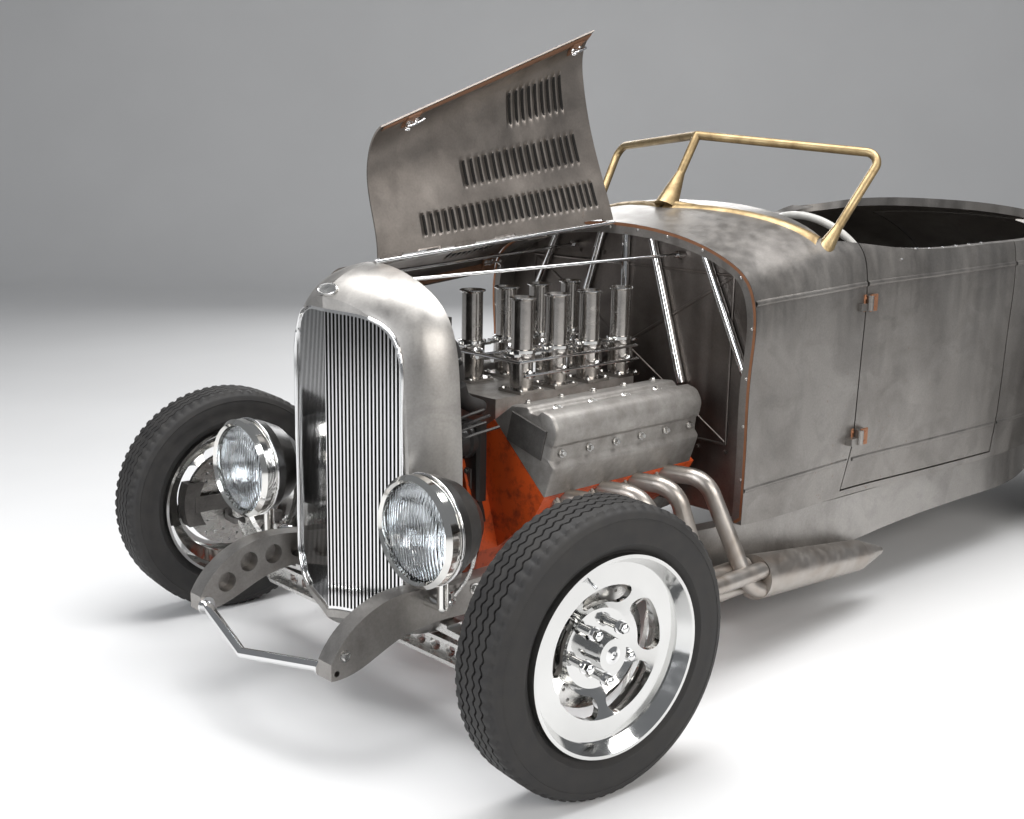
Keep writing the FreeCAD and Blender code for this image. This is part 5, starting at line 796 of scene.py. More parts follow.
STRIP_SHARES = (-1, -0.72, -0.35, 0, 0.35, 0.72, 1)
STRIP_SINK = 0.4
STRIP_STEPS = 60
BELT_Z = 905
BELT_COWL_RISE = 19
BELT_COWL_RUN = 500
BELT_REAR_RISE = 36
BELT_REAR_RUN = 1500
LOWER_Z = 428
LOWER_SLOPE = 0.012
# From the cowl's front edge back to the mouldings' ends on both sides of the door's front seam.
COWL_STRIP_END = 475
DOOR_STRIP_START = 485
REAR_STRIP_GAP = 7
TAIL_LENGTH = 520


def belt_line(back):
    """Height of the belt moulding at a distance back from the cowl's front edge."""
    cowl_share = min(1, max(0, back / BELT_COWL_RUN))
    rear_share = min(1, max(0, (back - BELT_COWL_RUN) / BELT_REAR_RUN))
    return BELT_Z + BELT_COWL_RISE * cowl_share + BELT_REAR_RISE * rear_share


def lower_line(back):
    return LOWER_Z + LOWER_SLOPE * back


# Each moulding: its name, line, width and height.
MOULDINGS = (("belt", belt_line, 15, 5.5), ("lower", lower_line, 12, 3.5))


def moulding_row(mesh, tree, x, z, side, width, height):
    """The half-round section of a moulding at one place, or nothing past the panel's end."""
    row = []
    for share in STRIP_SHARES:
        hit = seen_from_side(tree, x, z + share * width / 2, side)[0]
        if hit is None:
            return []
        rise = math.sqrt(max(0, 1 - share * share)) * height - STRIP_SINK
        row.append(hit + at(0, side * rise, 0))
    return [mesh.verts.new(spot) for spot in row]


def make_mouldings():
    front = box_mm("cowl")[1].x
    for side, word in SIDES:
        door = "door_" + word
        door_rear = box_mm(door)[0].x
        spans = (("cowl", "chassis", front - 2, front - COWL_STRIP_END),
                 (door, door, front - DOOR_STRIP_START, door_rear + 2),
                 ("rear_body", "chassis", door_rear - REAR_STRIP_GAP,
                  box_mm("rear_body")[0].x + TAIL_LENGTH))
        for node, body, start, end in spans:
            tree = node_tree(node)
            for label, line, width, height in MOULDINGS:
                mesh = bmesh.new()
                rows = []
                for step in range(STRIP_STEPS + 1):
                    x = start + (end - start) * step / STRIP_STEPS
                    rows.append(moulding_row(mesh, tree, x, line(front - x), side, width, height))
                bridge(mesh, [row for row in rows if row], False)
                piece("%s_moulding_%s_%s" % (label, node, word), mesh, NODE_MATERIALS[node],
                      body)


# Head lamps, in mm

LAMP_INSET = 106
REFLECTOR_STEPS = 14
REFLECTOR_BASE = 4
REFLECTOR_REACH = 99
REFLECTOR_DEPTH = 75
BULB = ((0.5, -8), (6, -10), (10, -18), (12, -30), (9, -44), (6, -52), (6, -72))
# Each ring: its radius, how far ahead of the lens it lies, and its thickness.
LAMP_RINGS = ((113, 6, 5.5), (119.5, -16, 3))
LAMP_FOOT = ((24, -4), (24, 4), (19, 7), (19, 22), (14, 24))
# The cable conduit's route: ahead, toward the middle, up.
LAMP_CONDUIT = ((0, 0, 0), (-24, 4, -20), (-22, 20, -110), (0, 62, -186))


def lamp_centre(side):
    low, high = box_mm("head_lamp_lenses")
    return at(low.x, side * (high.y - LAMP_INSET), (low.z + high.z) / 2)


def make_lamp_insides():
    """A dished reflector and a bulb in each lamp."""
    bowl = []
    for step in range(REFLECTOR_STEPS + 1):
        share = step / REFLECTOR_STEPS
        bowl.append((REFLECTOR_BASE + REFLECTOR_REACH * share, -REFLECTOR_DEPTH * (1 - share * share) - 2))
    for side, word in SIDES:
        mesh = bmesh.new()
        add_turned(mesh, bowl, lamp_centre(side), FORWARD, 72, False)
        piece("lamp_reflector_" + word, mesh, CHROME, "chassis")
        mesh = bmesh.new()
        add_turned(mesh, BULB, lamp_centre(side), FORWARD, 28, False)
        piece("lamp_bulb_" + word, mesh, GRIP, "chassis")


def make_lamp_trim():
    """The rings, their clamp screw, the nut on the foot, and the conduit behind each lamp."""
    low, high = box_mm("head_lamps")
    for side, word in SIDES:
        mesh = bmesh.new()
        centre = lamp_centre(side) - at(4, 0, 0)
        for radius, ahead, thick in LAMP_RINGS:
            ring = circle(centre + at(ahead, 0, 0), radius, 72, LEFT, UP)
            add_tube(mesh, ring, thick, 10, True)
        add_bolt(mesh, centre + at(4, 0, -117), FORWARD, 4)
        add_turned(mesh, LAMP_FOOT, at(low.x + 58, side * (high.y - 148), low.z + 10), UP, 6)
        piece("lamp_rings_" + word, mesh, CHROME, "chassis")
        mesh = bmesh.new()
        back = Vector(((low.x + 12) * MM, centre.y, centre.z - 20 * MM))
        add_tube(mesh, smooth_path([back + at(ahead, -side * inward, up)
                                    for ahead, inward, up in LAMP_CONDUIT]), 4.5)
        piece("lamp_conduit_" + word, mesh, BRUSHED, "chassis")


# Wheel fittings, in mm

LUG_COUNT = 5
LUG_CIRCLE = 57
LUG_WASHER = ((14.3, -1), (14.3, 3))
LUG_NUT = ((11, 2), (11, 17), (8.8, 20), (3.3, 22))
HUB_CAP = ((30, -2), (30, 7), (24.6, 10), (21.6, 9), (18.6, 22), (9, 25), (8.1, 19))
HUB_FACE = 40
STEM = ((4.5, -4), (4.5, 6), (3.2, 8), (3.2, 26), (2.4, 28))
STEM_TURN = 0.35
STEM_INSET = 34


def make_wheel_fittings():
    """Lug nuts, hub cap and valve stem, made facing +Y and then put on each wheel."""
    for end, lip in RIM_LIPS.items():
        for side, word in SIDES:
            name = "wheel_%s_%s" % (end, word)
            place = wheel_matrix(name, side, end)
            tree = node_tree(name, place.inverted())
            mesh = bmesh.new()
            for index in range(LUG_COUNT):
                turn = 2 * math.pi * (index + 0.5) / LUG_COUNT
                seat = seen_from_side(tree, math.sin(turn) * LUG_CIRCLE, math.cos(turn) * LUG_CIRCLE, 1)[0]
                add_turned(mesh, LUG_WASHER, seat, LEFT, 20)
                add_turned(mesh, LUG_NUT, seat, LEFT, 6)
            hit = seen_from_side(tree, 4, 4, 1)[0]
            hub = at(0, HUB_FACE, 0) if hit is None else Vector((0, hit.y, 0))
            add_turned(mesh, HUB_CAP, hub, LEFT, 32)
            out = Vector((math.sin(STEM_TURN), 0, math.cos(STEM_TURN)))
            stem = out * (lip - STEM_INSET)
            hit = seen_from_side(tree, stem.x, stem.z, 1)[0]
            if hit is not None:
                add_turned(mesh, STEM, hit, LEFT - out * 0.5, 12)
            bmesh.ops.transform(mesh, matrix=place, verts=mesh.verts)
            piece("fittings_" + name, mesh, CHROME, "%s_wheel_%s" % (end, word))


# Valve covers, in mm

BORE_PITCH = 119
# The section's corners beside the engine: y, z and how far each is rounded.
COVER_CORNERS = ((206, 684, 5), (262, 690, 8), (270, 678, 5), (298, 676, 6), (306, 688, 7),
                 (340, 680, 12), (358, 650, 12), (350, 612, 4), (342, 606, 3), (338, 572, 4),
                 (350, 558, 4), (346, 545, 3))
COVER_FOOT_IN = Vector((0, 152, 641))
COVER_FOOT_OUT = Vector((0, 322, 486))
COVER_CENTRE = Vector((0, 268, 612))
# Round each end of the cover: in from the end, and in toward the section's centre.
COVER_ENDS = ((0, 9), (2, 3), (6, 0.6), (12, 0))
PLUG_BOSS = ((15, -3), (15, 2), (12, 4), (10, 1))
COVER_BOLT = 6.5
END_PLATE = (118, 74, 5)


def cover_profile(inset):
    """The valve cover's section with its rounded steps, drawn in by an inset."""
    corners = [Vector((0, y, z)) for y, z, radius in COVER_CORNERS]
    path = corners[:1]
    for before, here, after, corner in zip(corners, corners[1:], corners[2:], COVER_CORNERS[1:]):
        start = here + (before - here).normalized() * corner[2]
        end = here + (after - here).normalized() * corner[2]
        for step in range(4):
            t = step / 3
            path.append(start * (1 - t) ** 2 + here * 2 * t * (1 - t) + end * t * t)
    path.append(corners[-1])
    path = [p + (COVER_CENTRE - p).normalized() * inset for p in path]
    return [COVER_FOOT_IN] + path + [COVER_FOOT_OUT]


def make_valve_covers():
    low, high = box_mm("valve_covers")
    stations = [(high.x - run, inset) for run, inset in COVER_ENDS]
    stations += [(low.x + run, inset) for run, inset in COVER_ENDS[::-1]]
    for side, word in SIDES:
        mesh = bmesh.new()
        rows = [[mesh.verts.new(at(x, side * p.y, p.z)) for p in cover_profile(inset)]
                for x, inset in stations]
        bridge(mesh, rows)
        cap(mesh, rows)
        even_normals(mesh)
        shape = piece("cast_cover_" + word, mesh, CAST, "chassis")
        if side > 0:
            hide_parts("valve_covers")
        dress_cover(side, word, low.x, high.x)


def dress_cover(side, word, rear, front):
    """Plug bosses, hold-down bolts, and a plain plate at each end of a cover."""
    mesh = bmesh.new()
    out = Vector((0, side * 0.55, 0.83)).normalized()
    for index in range(4):
        boss = at(front - 80 - index * BORE_PITCH, side * 284, 677)
        add_turned(mesh, PLUG_BOSS, boss, out, 24)
        add_bolt(mesh, boss + out * MM, out, 6, 8)
    out = Vector((0, side, 0.12)).normalized()
    for index in range(6):
        add_bolt(mesh, at(front - 34 - index * 92, side * 350, 590) - out * 7 * MM, out, COVER_BOLT, 10)
    for index in range(5):
        add_bolt(mesh, at(front - 40 - index * 112, side * 222, 687), UP, COVER_BOLT, 7)
    piece("cover_bolts_" + word, mesh, BRUSHED, "chassis")
    mesh = bmesh.new()
    for end, facing in ((front, FORWARD), (rear, -FORWARD)):
        across = Vector((0, side * 0.97, -0.25)).normalized()
        add_slab(mesh, at(end, side * 262, 622) - facing * MM, (across, facing.cross(across), facing),
                 END_PLATE)
    piece("cover_end_plates_" + word, mesh, IRON, "chassis")


# Induction, in mm

STACK_ROW = 92
STACK_FRONT_INSET = 40
STACK_BASE_Z = 782
STACK_BASE = ((34, -4), (36, -2), (36, 5), (29, 7))
STACK_FLANGE = (92, 44, 7)
THROTTLE_Z = 728
THROTTLE_HUB = ((13, -4), (13, 7), (8, 9), (8, 14))
THROTTLE_LEVER = (8, 4, 46)
NOZZLE = ((7, -14), (7, 10), (5, 12), (5, 24))
# The fuel line's route from a nozzle: ahead, toward the middle, up.
NOZZLE_LINE = ((3, 18, 18), (0, 30, 20), (-6, 40, 4))
# Rods along each row: out from it, height, radius, sides, past the first and the last stack.
ROW_RODS = ((-64, 756, 7, 14, 40, 30), (44, 764, 4, 12, 52, 20), (42, 728, 4, 12, 30, 30))
# The rod between the rows: past the first stack, out from the middle, height.
CROSS_ROD = (48, 136, 764)


def add_stack_dress(mesh, rods, x, side, top):
    """One stack's rim, foot, bolts, throttle spindle and fuel nozzle."""
    y = side * STACK_ROW
    add_tube(mesh, circle(at(x, y, top - 2.4), 31, 40), 2.6, 8, True)
    base = at(x, y, STACK_BASE_Z)
    add_turned(mesh, STACK_BASE, base, UP, 36)
    add_slab(mesh, base - at(0, 0, 9), (FORWARD, LEFT, UP), STACK_FLANGE)
    for corner in (-1, 1):
        add_bolt(mesh, base + at(corner * 40, 0, -2), UP, 4.2)
        for other in (-1, 1):
            add_bolt(mesh, at(x + corner * 32, y + other * 32, 690), UP, 4.5)
    spindle = at(x, y + side * 30, THROTTLE_Z)
    add_turned(mesh, THROTTLE_HUB, spindle, side * LEFT, 24)
    add_slab(rods, spindle + at(0, side * 12, -6), (FORWARD, LEFT, UP), THROTTLE_LEVER)
    nozzle = at(x + 18, y - side * 24, 752)
    add_turned(rods, NOZZLE, nozzle, Vector((0.2, -side * 0.7, 0.7)), 14)
    add_tube(rods, smooth_path([nozzle + at(ahead, -side * inward, up)
                                for ahead, inward, up in NOZZLE_LINE], 5), 2.6, 8)


def make_induction():
    high = box_mm("intake_stacks")[1]
    first = high.x - STACK_FRONT_INSET
    last = first - 3 * BORE_PITCH
    mesh = bmesh.new()
    rods = bmesh.new()
    for side, word in SIDES:
        for index in range(4):
            add_stack_dress(mesh, rods, first - index * BORE_PITCH, side, high.z)
        for out, z, radius, sides, ahead, behind in ROW_RODS:
            y = side * (STACK_ROW + out)
            add_tube(rods, [at(first + ahead, y, z), at(last - behind, y, z)], radius, sides)
    ahead, out, z = CROSS_ROD
    add_tube(rods, [at(first + ahead, out, z), at(first + ahead, -out, z)], 4.5, 12)
    piece("stack_rings", mesh, ALLOY, "chassis")
    piece("throttle_linkage", rods, CHROME, "chassis")


# The engine's front, in mm

FACING_AHEAD = (LEFT, UP, FORWARD)
BLOCK_FACE = 62
TIMING_ROUND = ((150, -6), (150, 10), (142, 16), (96, 20))
TIMING_ROUND_Z = 372
TIMING_BOX = (300, 190, 26)
TIMING_BOX_Z = 540
IGNITION_DRIVE = ((44, 0), (44, 34), (38, 40), (38, 62), (30, 68))
LEAD_POST = ((5, -2), (5, 12), (3.5, 14))
LEAD_CIRCLE = 24
LEAD_TURN = 0.6
PUMP_Z = 500
PUMP = ((70, 0), (70, 22), (48, 34), (24, 40), (24, 56))
PUMP_FOOT = (70, 58, 24)
CRANK_Z = 342
# Each pulley: its height and radius. The belt runs 1 mm inside the rims.
PULLEYS = ((PUMP_Z, 62), (CRANK_Z, 86))
HOSE_RADIUS = 19
PORT_OFFSET = 299.55
FLANGE = (74, 60, 9)


def make_timing_cover():
    """The dark cast covers and the ignition drives on the front of the block."""
    front = box_mm("engine_block")[1].x - BLOCK_FACE
    mesh = bmesh.new()
    add_turned(mesh, TIMING_ROUND, at(front, 0, TIMING_ROUND_Z), FORWARD, 40)
    add_slab(mesh, at(front - 4, 0, TIMING_BOX_Z), FACING_AHEAD, TIMING_BOX)
    for side, word in SIDES:
        drive = at(front, side * 104, 590)
        add_turned(mesh, IGNITION_DRIVE, drive, FORWARD, 32)
        for index in range(4):
            turn = RIGHT_TURN * index + LEAD_TURN
            post = drive + at(66, math.cos(turn) * LEAD_CIRCLE, math.sin(turn) * LEAD_CIRCLE)
            add_turned(mesh, LEAD_POST, post, FORWARD, 10)
            add_tube(mesh, smooth_path([
                post + at(12, 0, 0), post + at(24, side * 10, 10), post + at(10, side * 40, 40),
                post + at(-40 - index * 12, side * 70, 62)]), 3.6, 8)
    piece("timing_covers", mesh, DARK, "chassis")


def make_engine_front():
    """Water pump, pulleys, belt and hoses between the block and the radiator."""
    front = box_mm("engine_block")[1].x
    low, high = box_mm("radiator")
    mesh = bmesh.new()
    add_turned(mesh, PUMP, at(front - BLOCK_FACE, 0, PUMP_Z), FORWARD, 36)
    for side, word in SIDES:
        add_slab(mesh, at(front - BLOCK_FACE, side * 96, PUMP_Z - 2), FACING_AHEAD, PUMP_FOOT)
        for up in (-18, 18):
            add_bolt(mesh, at(front - 38, side * 112, PUMP_Z - 2 + up), FORWARD, 6)
    piece("water_pump", mesh, IRON, "chassis")
    mesh = bmesh.new()
    belt = []
    for index, (z, radius) in enumerate(PULLEYS):
        profile = [(radius - 8, 0), (radius, 2), (radius - 6, 8), (radius, 14), (radius - 8, 16)]
        add_turned(mesh, profile, at(front - 14, 0, z), FORWARD, 44)
        for step in range(24):
            turn = math.pi * (index + step / 23)
            belt.append(at(front - 6, (radius - 1) * math.cos(turn), z + (radius - 1) * math.sin(turn)))
    piece("pulleys", mesh, BRUSHED, "chassis")
    mesh = bmesh.new()
    add_tube(mesh, belt, 4.5, 8, True)
    upper = [at(low.x + 4, 120, high.z - 70), at(low.x - 60, 122, high.z - 82),
             at(front - 20, 110, 700), at(front - 92, 96, 660)]
    lower = [at(low.x + 4, -140, low.z + 60), at(low.x - 30, -140, low.z + 66),
             at(front - 10, -120, 440), at(front - 48, -98, 490)]
    for route in (upper, lower):
        add_tube(mesh, smooth_path(route), HOSE_RADIUS, 20)
    piece("belt_and_hoses", mesh, RUBBER, "chassis")


def make_header_flanges():
    mesh = bmesh.new()
    for side, word in SIDES:
        out = Vector((0, side * 0.89, 0.45))
        axes = (FORWARD, Vector((0, -side * 0.45, 0.89)), out)
        for index in range(4):
            x = FRONT_AXLE_X - PORT_OFFSET - BORE_PITCH * index
            add_slab(mesh, at(x, side * 306, 466), axes, FLANGE)
            for shift in (-30, 30):
                add_bolt(mesh, at(x + shift, side * 314, 470), out, 6)
    piece("header_flanges", mesh, PIPE, "chassis")


# Grille shell and frame dress, in mm

BEAD_STATIONS = 60
BEAD_TRIALS = 14
BEAD_REACH = 280
BEAD_DEPTH = 110
BADGE_HALF_WIDTH = 27
BADGE_HALF_HEIGHT = 16
# The badge's section: share of its outline, and height.
BADGE_SECTION = ((1.0, -2), (1.0, 3), (0.9, 4.5), (0.82, 3))
BADGE_RISE = 40
# Bolts on the frame's sides: along from the front axle, and height.
FRAME_BOLTS = ((338, 202), (318, 236), (-40, 300), (-150, 330), (-330, 360), (-700, 380))


def make_shell_trim():
    """The bead round the grille opening, and the plain badge above it."""
    tree = node_tree("grille_shell")
    low, high = box_mm("grille_insert")

    def from_front(y, z):
        return tree.ray_cast(at(high.x + 500, y, z), -FORWARD)[:2]

    mesh = bmesh.new()
    for side, word in SIDES:
        path = []
        for step in range(BEAD_STATIONS + 1):
            z = low.z + (high.z - low.z) * step / BEAD_STATIONS
            inner, outer = 0, BEAD_REACH
            for trial in range(BEAD_TRIALS):
                y = (inner + outer) / 2
                hit = from_front(side * y, z)[0]
                if hit is not None and hit.x > (high.x - BEAD_DEPTH) * MM:
                    outer = y
                else:
                    inner = y
            hit = from_front(side * (outer + 1.5), z)[0]
            if hit is not None and outer > 4:
                path.append(hit + at(1, 0, 0))
        add_tube(mesh, path, 4.2)
    piece("grille_bead", mesh, CHROME, "chassis")
    mesh = bmesh.new()
    hit, normal = from_front(1, high.z + BADGE_RISE)
    side, upward, along = frame_of(normal)
    rows = []
    for share, height in BADGE_SECTION:
        oval = circle(hit + along * height * MM, share, 40, side * BADGE_HALF_WIDTH,
                      upward * BADGE_HALF_HEIGHT)
        rows.append([mesh.verts.new(spot) for spot in oval])
    bridge(mesh, rows)
    mesh.faces.new(rows[-1])
    even_normals(mesh)
    piece("blank_badge", mesh, BRUSHED, "chassis")


def make_frame_bolts():
    mesh = bmesh.new()
    tree = node_tree("frame")
    for side, word in SIDES:
        for ahead, z in FRAME_BOLTS:
            hit, normal = seen_from_side(tree, FRONT_AXLE_X + ahead, z, side)
            if hit is not None:
                add_bolt(mesh, hit, normal, 9, 8)
    piece("frame_bolts", mesh, BRUSHED, "chassis")


# Body dress, in mm

COWL_CENTRE_Z = 700
COWL_EDGE_REACH = 800
COWL_EDGE_TURN = 2.25
COWL_EDGE_STEPS = 120
COWL_EDGE_INSETS = (9, 1)
COWL_EDGE_SPLIT = 90
COWL_STUD = ((4, 0), (4, 1.6), (2.6, 2.8))
FIREWALL_BEADS_Y = 360
FIREWALL_BEADS_Z = (520, 960)
FIREWALL_BOLTS_Z = (500, 985)
FIREWALL_BOLT_COUNT = 9
HINGE_SEAM = 483
HINGE_HEIGHTS = (872, 500)
HINGE_SCREW = ((3.6, 0), (3.6, 1.5), (2, 2.4))
RAIL_MIDDLE_BACK = 1002
RAIL_END_BACK = 1128
RAIL_HALF_LENGTH = 418
RAIL_STEPS = 40
RAIL_SHARES = (-1, -0.8, -0.3, 0.3, 0.8, 1)
DOOR_STUD_COUNT = 9
DOOR_STUD_START = 50
DOOR_STUD_PITCH = 75
DOOR_STUD_Y = 493
DOOR_STUD = ((4.5, -1), (4.5, 1.5), (2.5, 3))


def seen_from_above(tree, x, y):
    return tree.ray_cast(at(x, y, TOP_REACH), -UP)[0]


def make_cowl_edge():
    """The copper-toned flange round the engine side of the cowl, with its small studs."""
    tree = node_tree("cowl")
    centre = at(box_mm("cowl")[1].x - 1.5, 0, COWL_CENTRE_Z)
    mesh = bmesh.new()
    studs = bmesh.new()
    rows = []
    spots = []
    for step in range(COWL_EDGE_STEPS + 1):
        turn = COWL_EDGE_TURN * (2 * step / COWL_EDGE_STEPS - 1)
        out = Vector((0, math.sin(turn), math.cos(turn)))
        hit = tree.ray_cast(centre + out * COWL_EDGE_REACH * MM, -out)[0]
        if hit is not None:
            spots.append((hit, out))
            rows.append([mesh.verts.new(hit + at(2.2, 0, 0) - out * inset * MM)
                         for inset in COWL_EDGE_INSETS])
    for first, second in zip(rows, rows[1:]):
        if (first[1].co - second[1].co).length < COWL_EDGE_SPLIT * MM:
            bridge(mesh, [first, second], False)
    for hit, out in spots[3::7]:
        add_turned(studs, COWL_STUD, hit + at(1.2, 0, 0) - out * 14 * MM, FORWARD, 10)
    piece("cowl_edge", mesh, COPPER, "chassis", False)
    piece("cowl_studs", studs, BRUSHED, "chassis")


def make_firewall_dress():
    """Pressed beads in a cross and a frame, and rows of bolts above and below."""
    front = box_mm("firewall")[1].x
    wide = FIREWALL_BEADS_Y
    bottom, top = FIREWALL_BEADS_Z
    corners = [at(front, y, z) for y, z in ((-wide, bottom), (wide, bottom), (wide, top), (-wide, top))]
    mesh = bmesh.new()
    for first, second in zip(corners[:2], corners[2:]):
        add_tube(mesh, [first, second], 5, 8, False, 0.5, FORWARD)
    for first, second in zip(corners, corners[1:] + corners[:1]):
        add_tube(mesh, [first, second], 4, 8)
    for index in range(FIREWALL_BOLT_COUNT):
        y = wide * (2 * index / (FIREWALL_BOLT_COUNT - 1) - 1)
        for z in FIREWALL_BOLTS_Z:
            add_bolt(mesh, at(front, y, z), FORWARD, 5)
    piece("firewall_beads", mesh, INSIDE, "chassis")


def make_hinge_plates():
    """The two leaves of each door hinge, on the door and on the cowl."""
    seam = box_mm("cowl")[1].x - HINGE_SEAM
    for side, word in SIDES:
        door = "door_" + word
        for tag, node, body, start, end in (("door", door, door, -37, -4),
                                            ("cowl", "cowl", "chassis", 4, 15)):
            tree = node_tree(node)
            mesh = bmesh.new()
            for height in HINGE_HEIGHTS:
                hit = seen_from_side(tree, seam + (start + end) / 2, height, side)[0]
                if hit is None:
                    continue
                add_slab(mesh, hit - at(0, side * 3, 0), (FORWARD, UP, side * LEFT), (end - start, 46, 6))
                for up in (-13, 13):
                    add_turned(mesh, HINGE_SCREW, hit + at(0, side * 3, up), side * LEFT, 12)
            piece("hinge_plate_%s_%s" % (tag, word), mesh, COPPER, body)


def make_windshield_rail():
    """The flat foot rail of the windshield, laid along the cowl and wider at its ends."""
    cowl = node_tree("cowl")
    mesh = bmesh.new()
    for side, word in SIDES:
        start = Vector((FRONT_AXLE_X - RAIL_MIDDLE_BACK, 0, 0))
        end = Vector((FRONT_AXLE_X - RAIL_END_BACK, side * RAIL_HALF_LENGTH, 0))
        lean = Vector((0.96, side * 0.28, 0))
        rows = []
        for step in range(RAIL_STEPS + 1):
            share = step / RAIL_STEPS
            middle = start.lerp(end, share) + 8 * math.sin(math.pi * share) * FORWARD
            wide = 15 + 12 * (1 - share) ** 6 + 9 * share ** 6
            row = []
            for across in RAIL_SHARES:
                spot = middle + lean * across * wide
                hit = seen_from_above(cowl, spot.x, spot.y)
                if hit is not None:
                    row.append(hit + at(0, 0, 9 * (1 - abs(across) ** 3) - 1))
            if len(row) == len(RAIL_SHARES):
                rows.append([mesh.verts.new(spot) for spot in row])
        bridge(mesh, rows, False)
    even_normals(mesh)
    piece("windshield_foot_rail", mesh, BRASS, "chassis")


def make_door_studs():
    """Small studs along the top of each door."""
    for side, word in SIDES:
        name = "door_" + word
        tree = node_tree(name)
        low, high = box_mm(name)
        mesh = bmesh.new()
        for index in range(DOOR_STUD_COUNT):
            hit = seen_from_above(tree, low.x + DOOR_STUD_START + DOOR_STUD_PITCH * index,
                                  side * DOOR_STUD_Y)
            if hit is not None and hit.z > (low.z * 0.1 + high.z * 0.9) * MM:
                add_turned(mesh, DOOR_STUD, hit, UP, 12)
        piece("rim_studs_" + name, mesh, CHROME, name)


# Rear axle dress, in mm

COIL_TURNS = 7
COIL_STEPS = 20
COIL_RADIUS = 39
COIL_WIRE = 5
COIL_Y = 360
COIL_BOTTOM = 385
COIL_TOP_GAP = 12
AXLE_Z = 360
COVER_BOLT_CIRCLE = 98
COVER_BOLT_COUNT = 10


def make_coils():
    """The rear springs, and the bolts round the axle's cover."""
    low, high = box_mm("rear_axle")
    mesh = bmesh.new()
    height = high.z - COIL_TOP_GAP - COIL_BOTTOM
    for side, word in SIDES:
        path = []
        for step in range(COIL_TURNS * COIL_STEPS + 1):
            turn = 2 * math.pi * step / COIL_STEPS
            path.append(at(REAR_AXLE_X + COIL_RADIUS * math.cos(turn),
                           side * COIL_Y + COIL_RADIUS * math.sin(turn),
                           COIL_BOTTOM + height * step / (COIL_TURNS * COIL_STEPS)))
        add_tube(mesh, path, COIL_WIRE, 8)
    piece("rear_coils", mesh, IRON, "chassis")
    mesh = bmesh.new()
    tree = node_tree("rear_axle")
    for spot in circle(at(low.x - 300, 0, AXLE_Z), COVER_BOLT_CIRCLE, COVER_BOLT_COUNT, LEFT, UP):
        hit = tree.ray_cast(spot, FORWARD)[0]
        if hit is not None:
            add_bolt(mesh, hit, -FORWARD, 6.5)
    piece("axle_cover_bolts", mesh, BRUSHED, "chassis")


# The set, in metres

FLOOR_FRONT = 12
FLOOR_BACK = -6.5
FLOOR_HALF_WIDTH = 14
FLOOR_BEND = 2.2
FLOOR_BEND_STEPS = 12
FLOOR_TURN = math.radians(46)
WALL_TOP = 8
# Each light: name, place, aim, size, power and colour.
LIGHTS = (
    ("overhead_box", (0.6, 0.3, 4.2), (0.3, 0, 0.5), (5.0, 2.2), 260, (1, 1, 1)),
    ("left_box", (1.2, 5.0, 2.6), (0, 0, 0.6), (4.2, 2.2), 150, (1.0, 0.97, 0.93)),
    ("front_box", (5.6, 0.4, 2.2), (0.8, 0, 0.6), (2.2, 2.6), 110, (0.95, 0.97, 1.0)),
    ("rear_strip", (-3.2, -3.8, 2.6), (-0.4, 0, 0.8), (3.2, 1.2), 90, (1, 1, 1)),
)
AIR_COLOUR = (0.62, 0.64, 0.67, 1)
AIR_STRENGTH = 0.32


def place_in_scene(shape):
    bpy.context.scene.collection.objects.link(shape)
    return shape


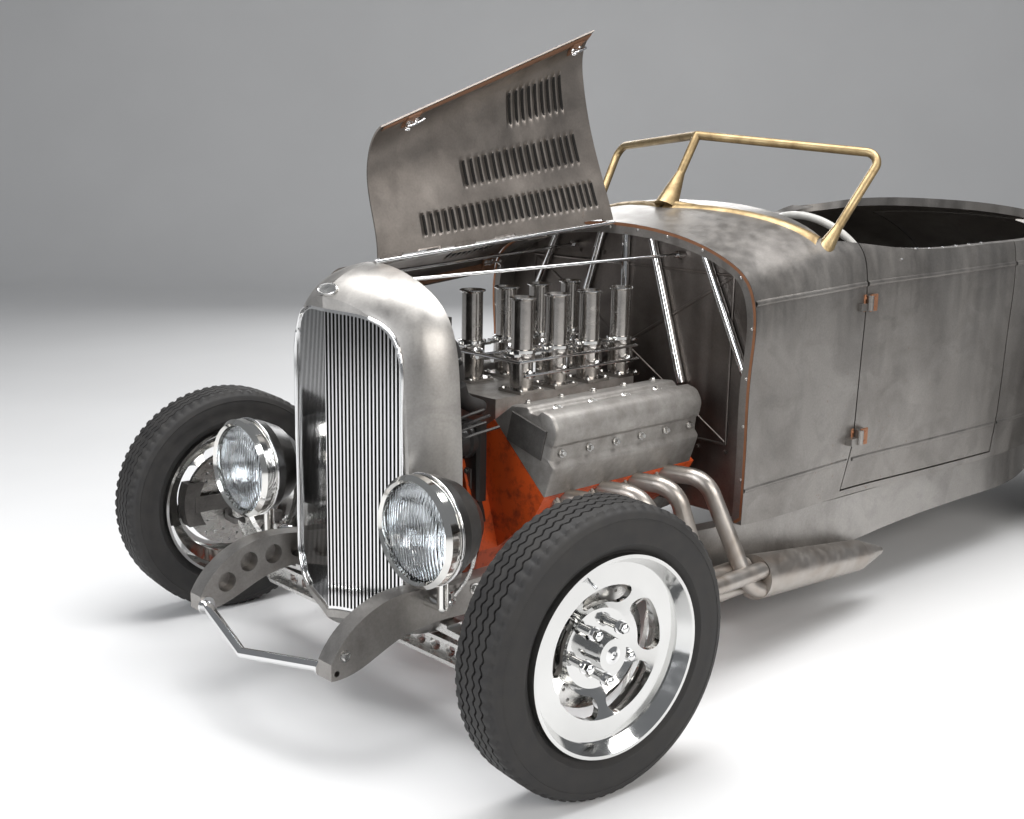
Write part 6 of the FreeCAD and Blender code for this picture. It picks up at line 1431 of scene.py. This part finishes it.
def add_stage():
    """A pale paper floor that bends up into a wall behind the car."""
    mesh = bmesh.new()
    section = [(FLOOR_FRONT, 0)]
    for step in range(FLOOR_BEND_STEPS + 1):
        angle = RIGHT_TURN * step / FLOOR_BEND_STEPS
        section.append((FLOOR_BACK - FLOOR_BEND * math.sin(angle), FLOOR_BEND * (1 - math.cos(angle))))
    section.append((FLOOR_BACK - FLOOR_BEND, WALL_TOP))
    turn = Matrix.Rotation(FLOOR_TURN, 4, "Z")
    bridge(mesh, [[mesh.verts.new(turn @ Vector((x, y, z))) for y in (-FLOOR_HALF_WIDTH, FLOOR_HALF_WIDTH)]
                  for x, z in section], False)
    data = bpy.data.meshes.new("studio_floor")
    mesh.to_mesh(data)
    mesh.free()
    data.shade_smooth()
    shader = Shader("studio_paper")
    shader.set(Base_Color=shader.ramp(shader.noise(0.7, 3), (0.3, 0.70), (0.7, 0.74)), Roughness=0.85)
    data.materials.append(shader.material)
    floor = place_in_scene(bpy.data.objects.new("studio_floor", data))


def add_lights():
    for name, place, aim, size, power, shade in LIGHTS:
        data = bpy.data.lights.new(name, "AREA")
        data.shape = "RECTANGLE"
        data.size, data.size_y = size
        data.energy = power
        data.color = shade
        light = place_in_scene(bpy.data.objects.new(name, data))
        light.location = place
        light.rotation_euler = (Vector(aim) - Vector(place)).to_track_quat("-Z", "Y").to_euler()
    world = bpy.data.worlds.new("studio_air")
    world.use_nodes = True
    air = world.node_tree.nodes["Background"]
    air.inputs["Color"].default_value = AIR_COLOUR
    air.inputs["Strength"].default_value = AIR_STRENGTH
    bpy.context.scene.world = world


def add_camera():
    data = bpy.data.cameras.new("photo_camera")
    data.sensor_width = 36
    data.lens = CAMERA_LENS
    data.clip_end = 60
    camera = place_in_scene(bpy.data.objects.new("photo_camera", data))
    ahead = Vector((math.cos(CAMERA_YAW) * math.cos(CAMERA_PITCH),
                    math.sin(CAMERA_YAW) * math.cos(CAMERA_PITCH), math.sin(CAMERA_PITCH)))
    right = Vector((math.sin(CAMERA_YAW), -math.cos(CAMERA_YAW), 0))
    up = right.cross(ahead)
    rolled_right = math.cos(CAMERA_ROLL) * right + math.sin(CAMERA_ROLL) * up
    rolled_up = math.cos(CAMERA_ROLL) * up - math.sin(CAMERA_ROLL) * right
    turn = Matrix((rolled_right, rolled_up, -ahead)).transposed().to_4x4()
    camera.matrix_world = Matrix.Translation(CAMERA_PLACE) @ turn
    bpy.context.scene.camera = camera
    view = bpy.context.scene.view_settings
    view.view_transform = "Standard"
    view.look = "None"


dress_nodes()
make_tyres()
make_hoods()
make_mouldings()
make_lamp_insides()
make_wheel_fittings()
make_valve_covers()
make_induction()
make_timing_cover()
make_engine_front()
make_header_flanges()
make_shell_trim()
make_lamp_trim()
make_frame_bolts()
make_cowl_edge()
make_firewall_dress()
make_hinge_plates()
make_windshield_rail()
make_door_studs()
make_coils()
add_stage()
add_lights()
add_camera()
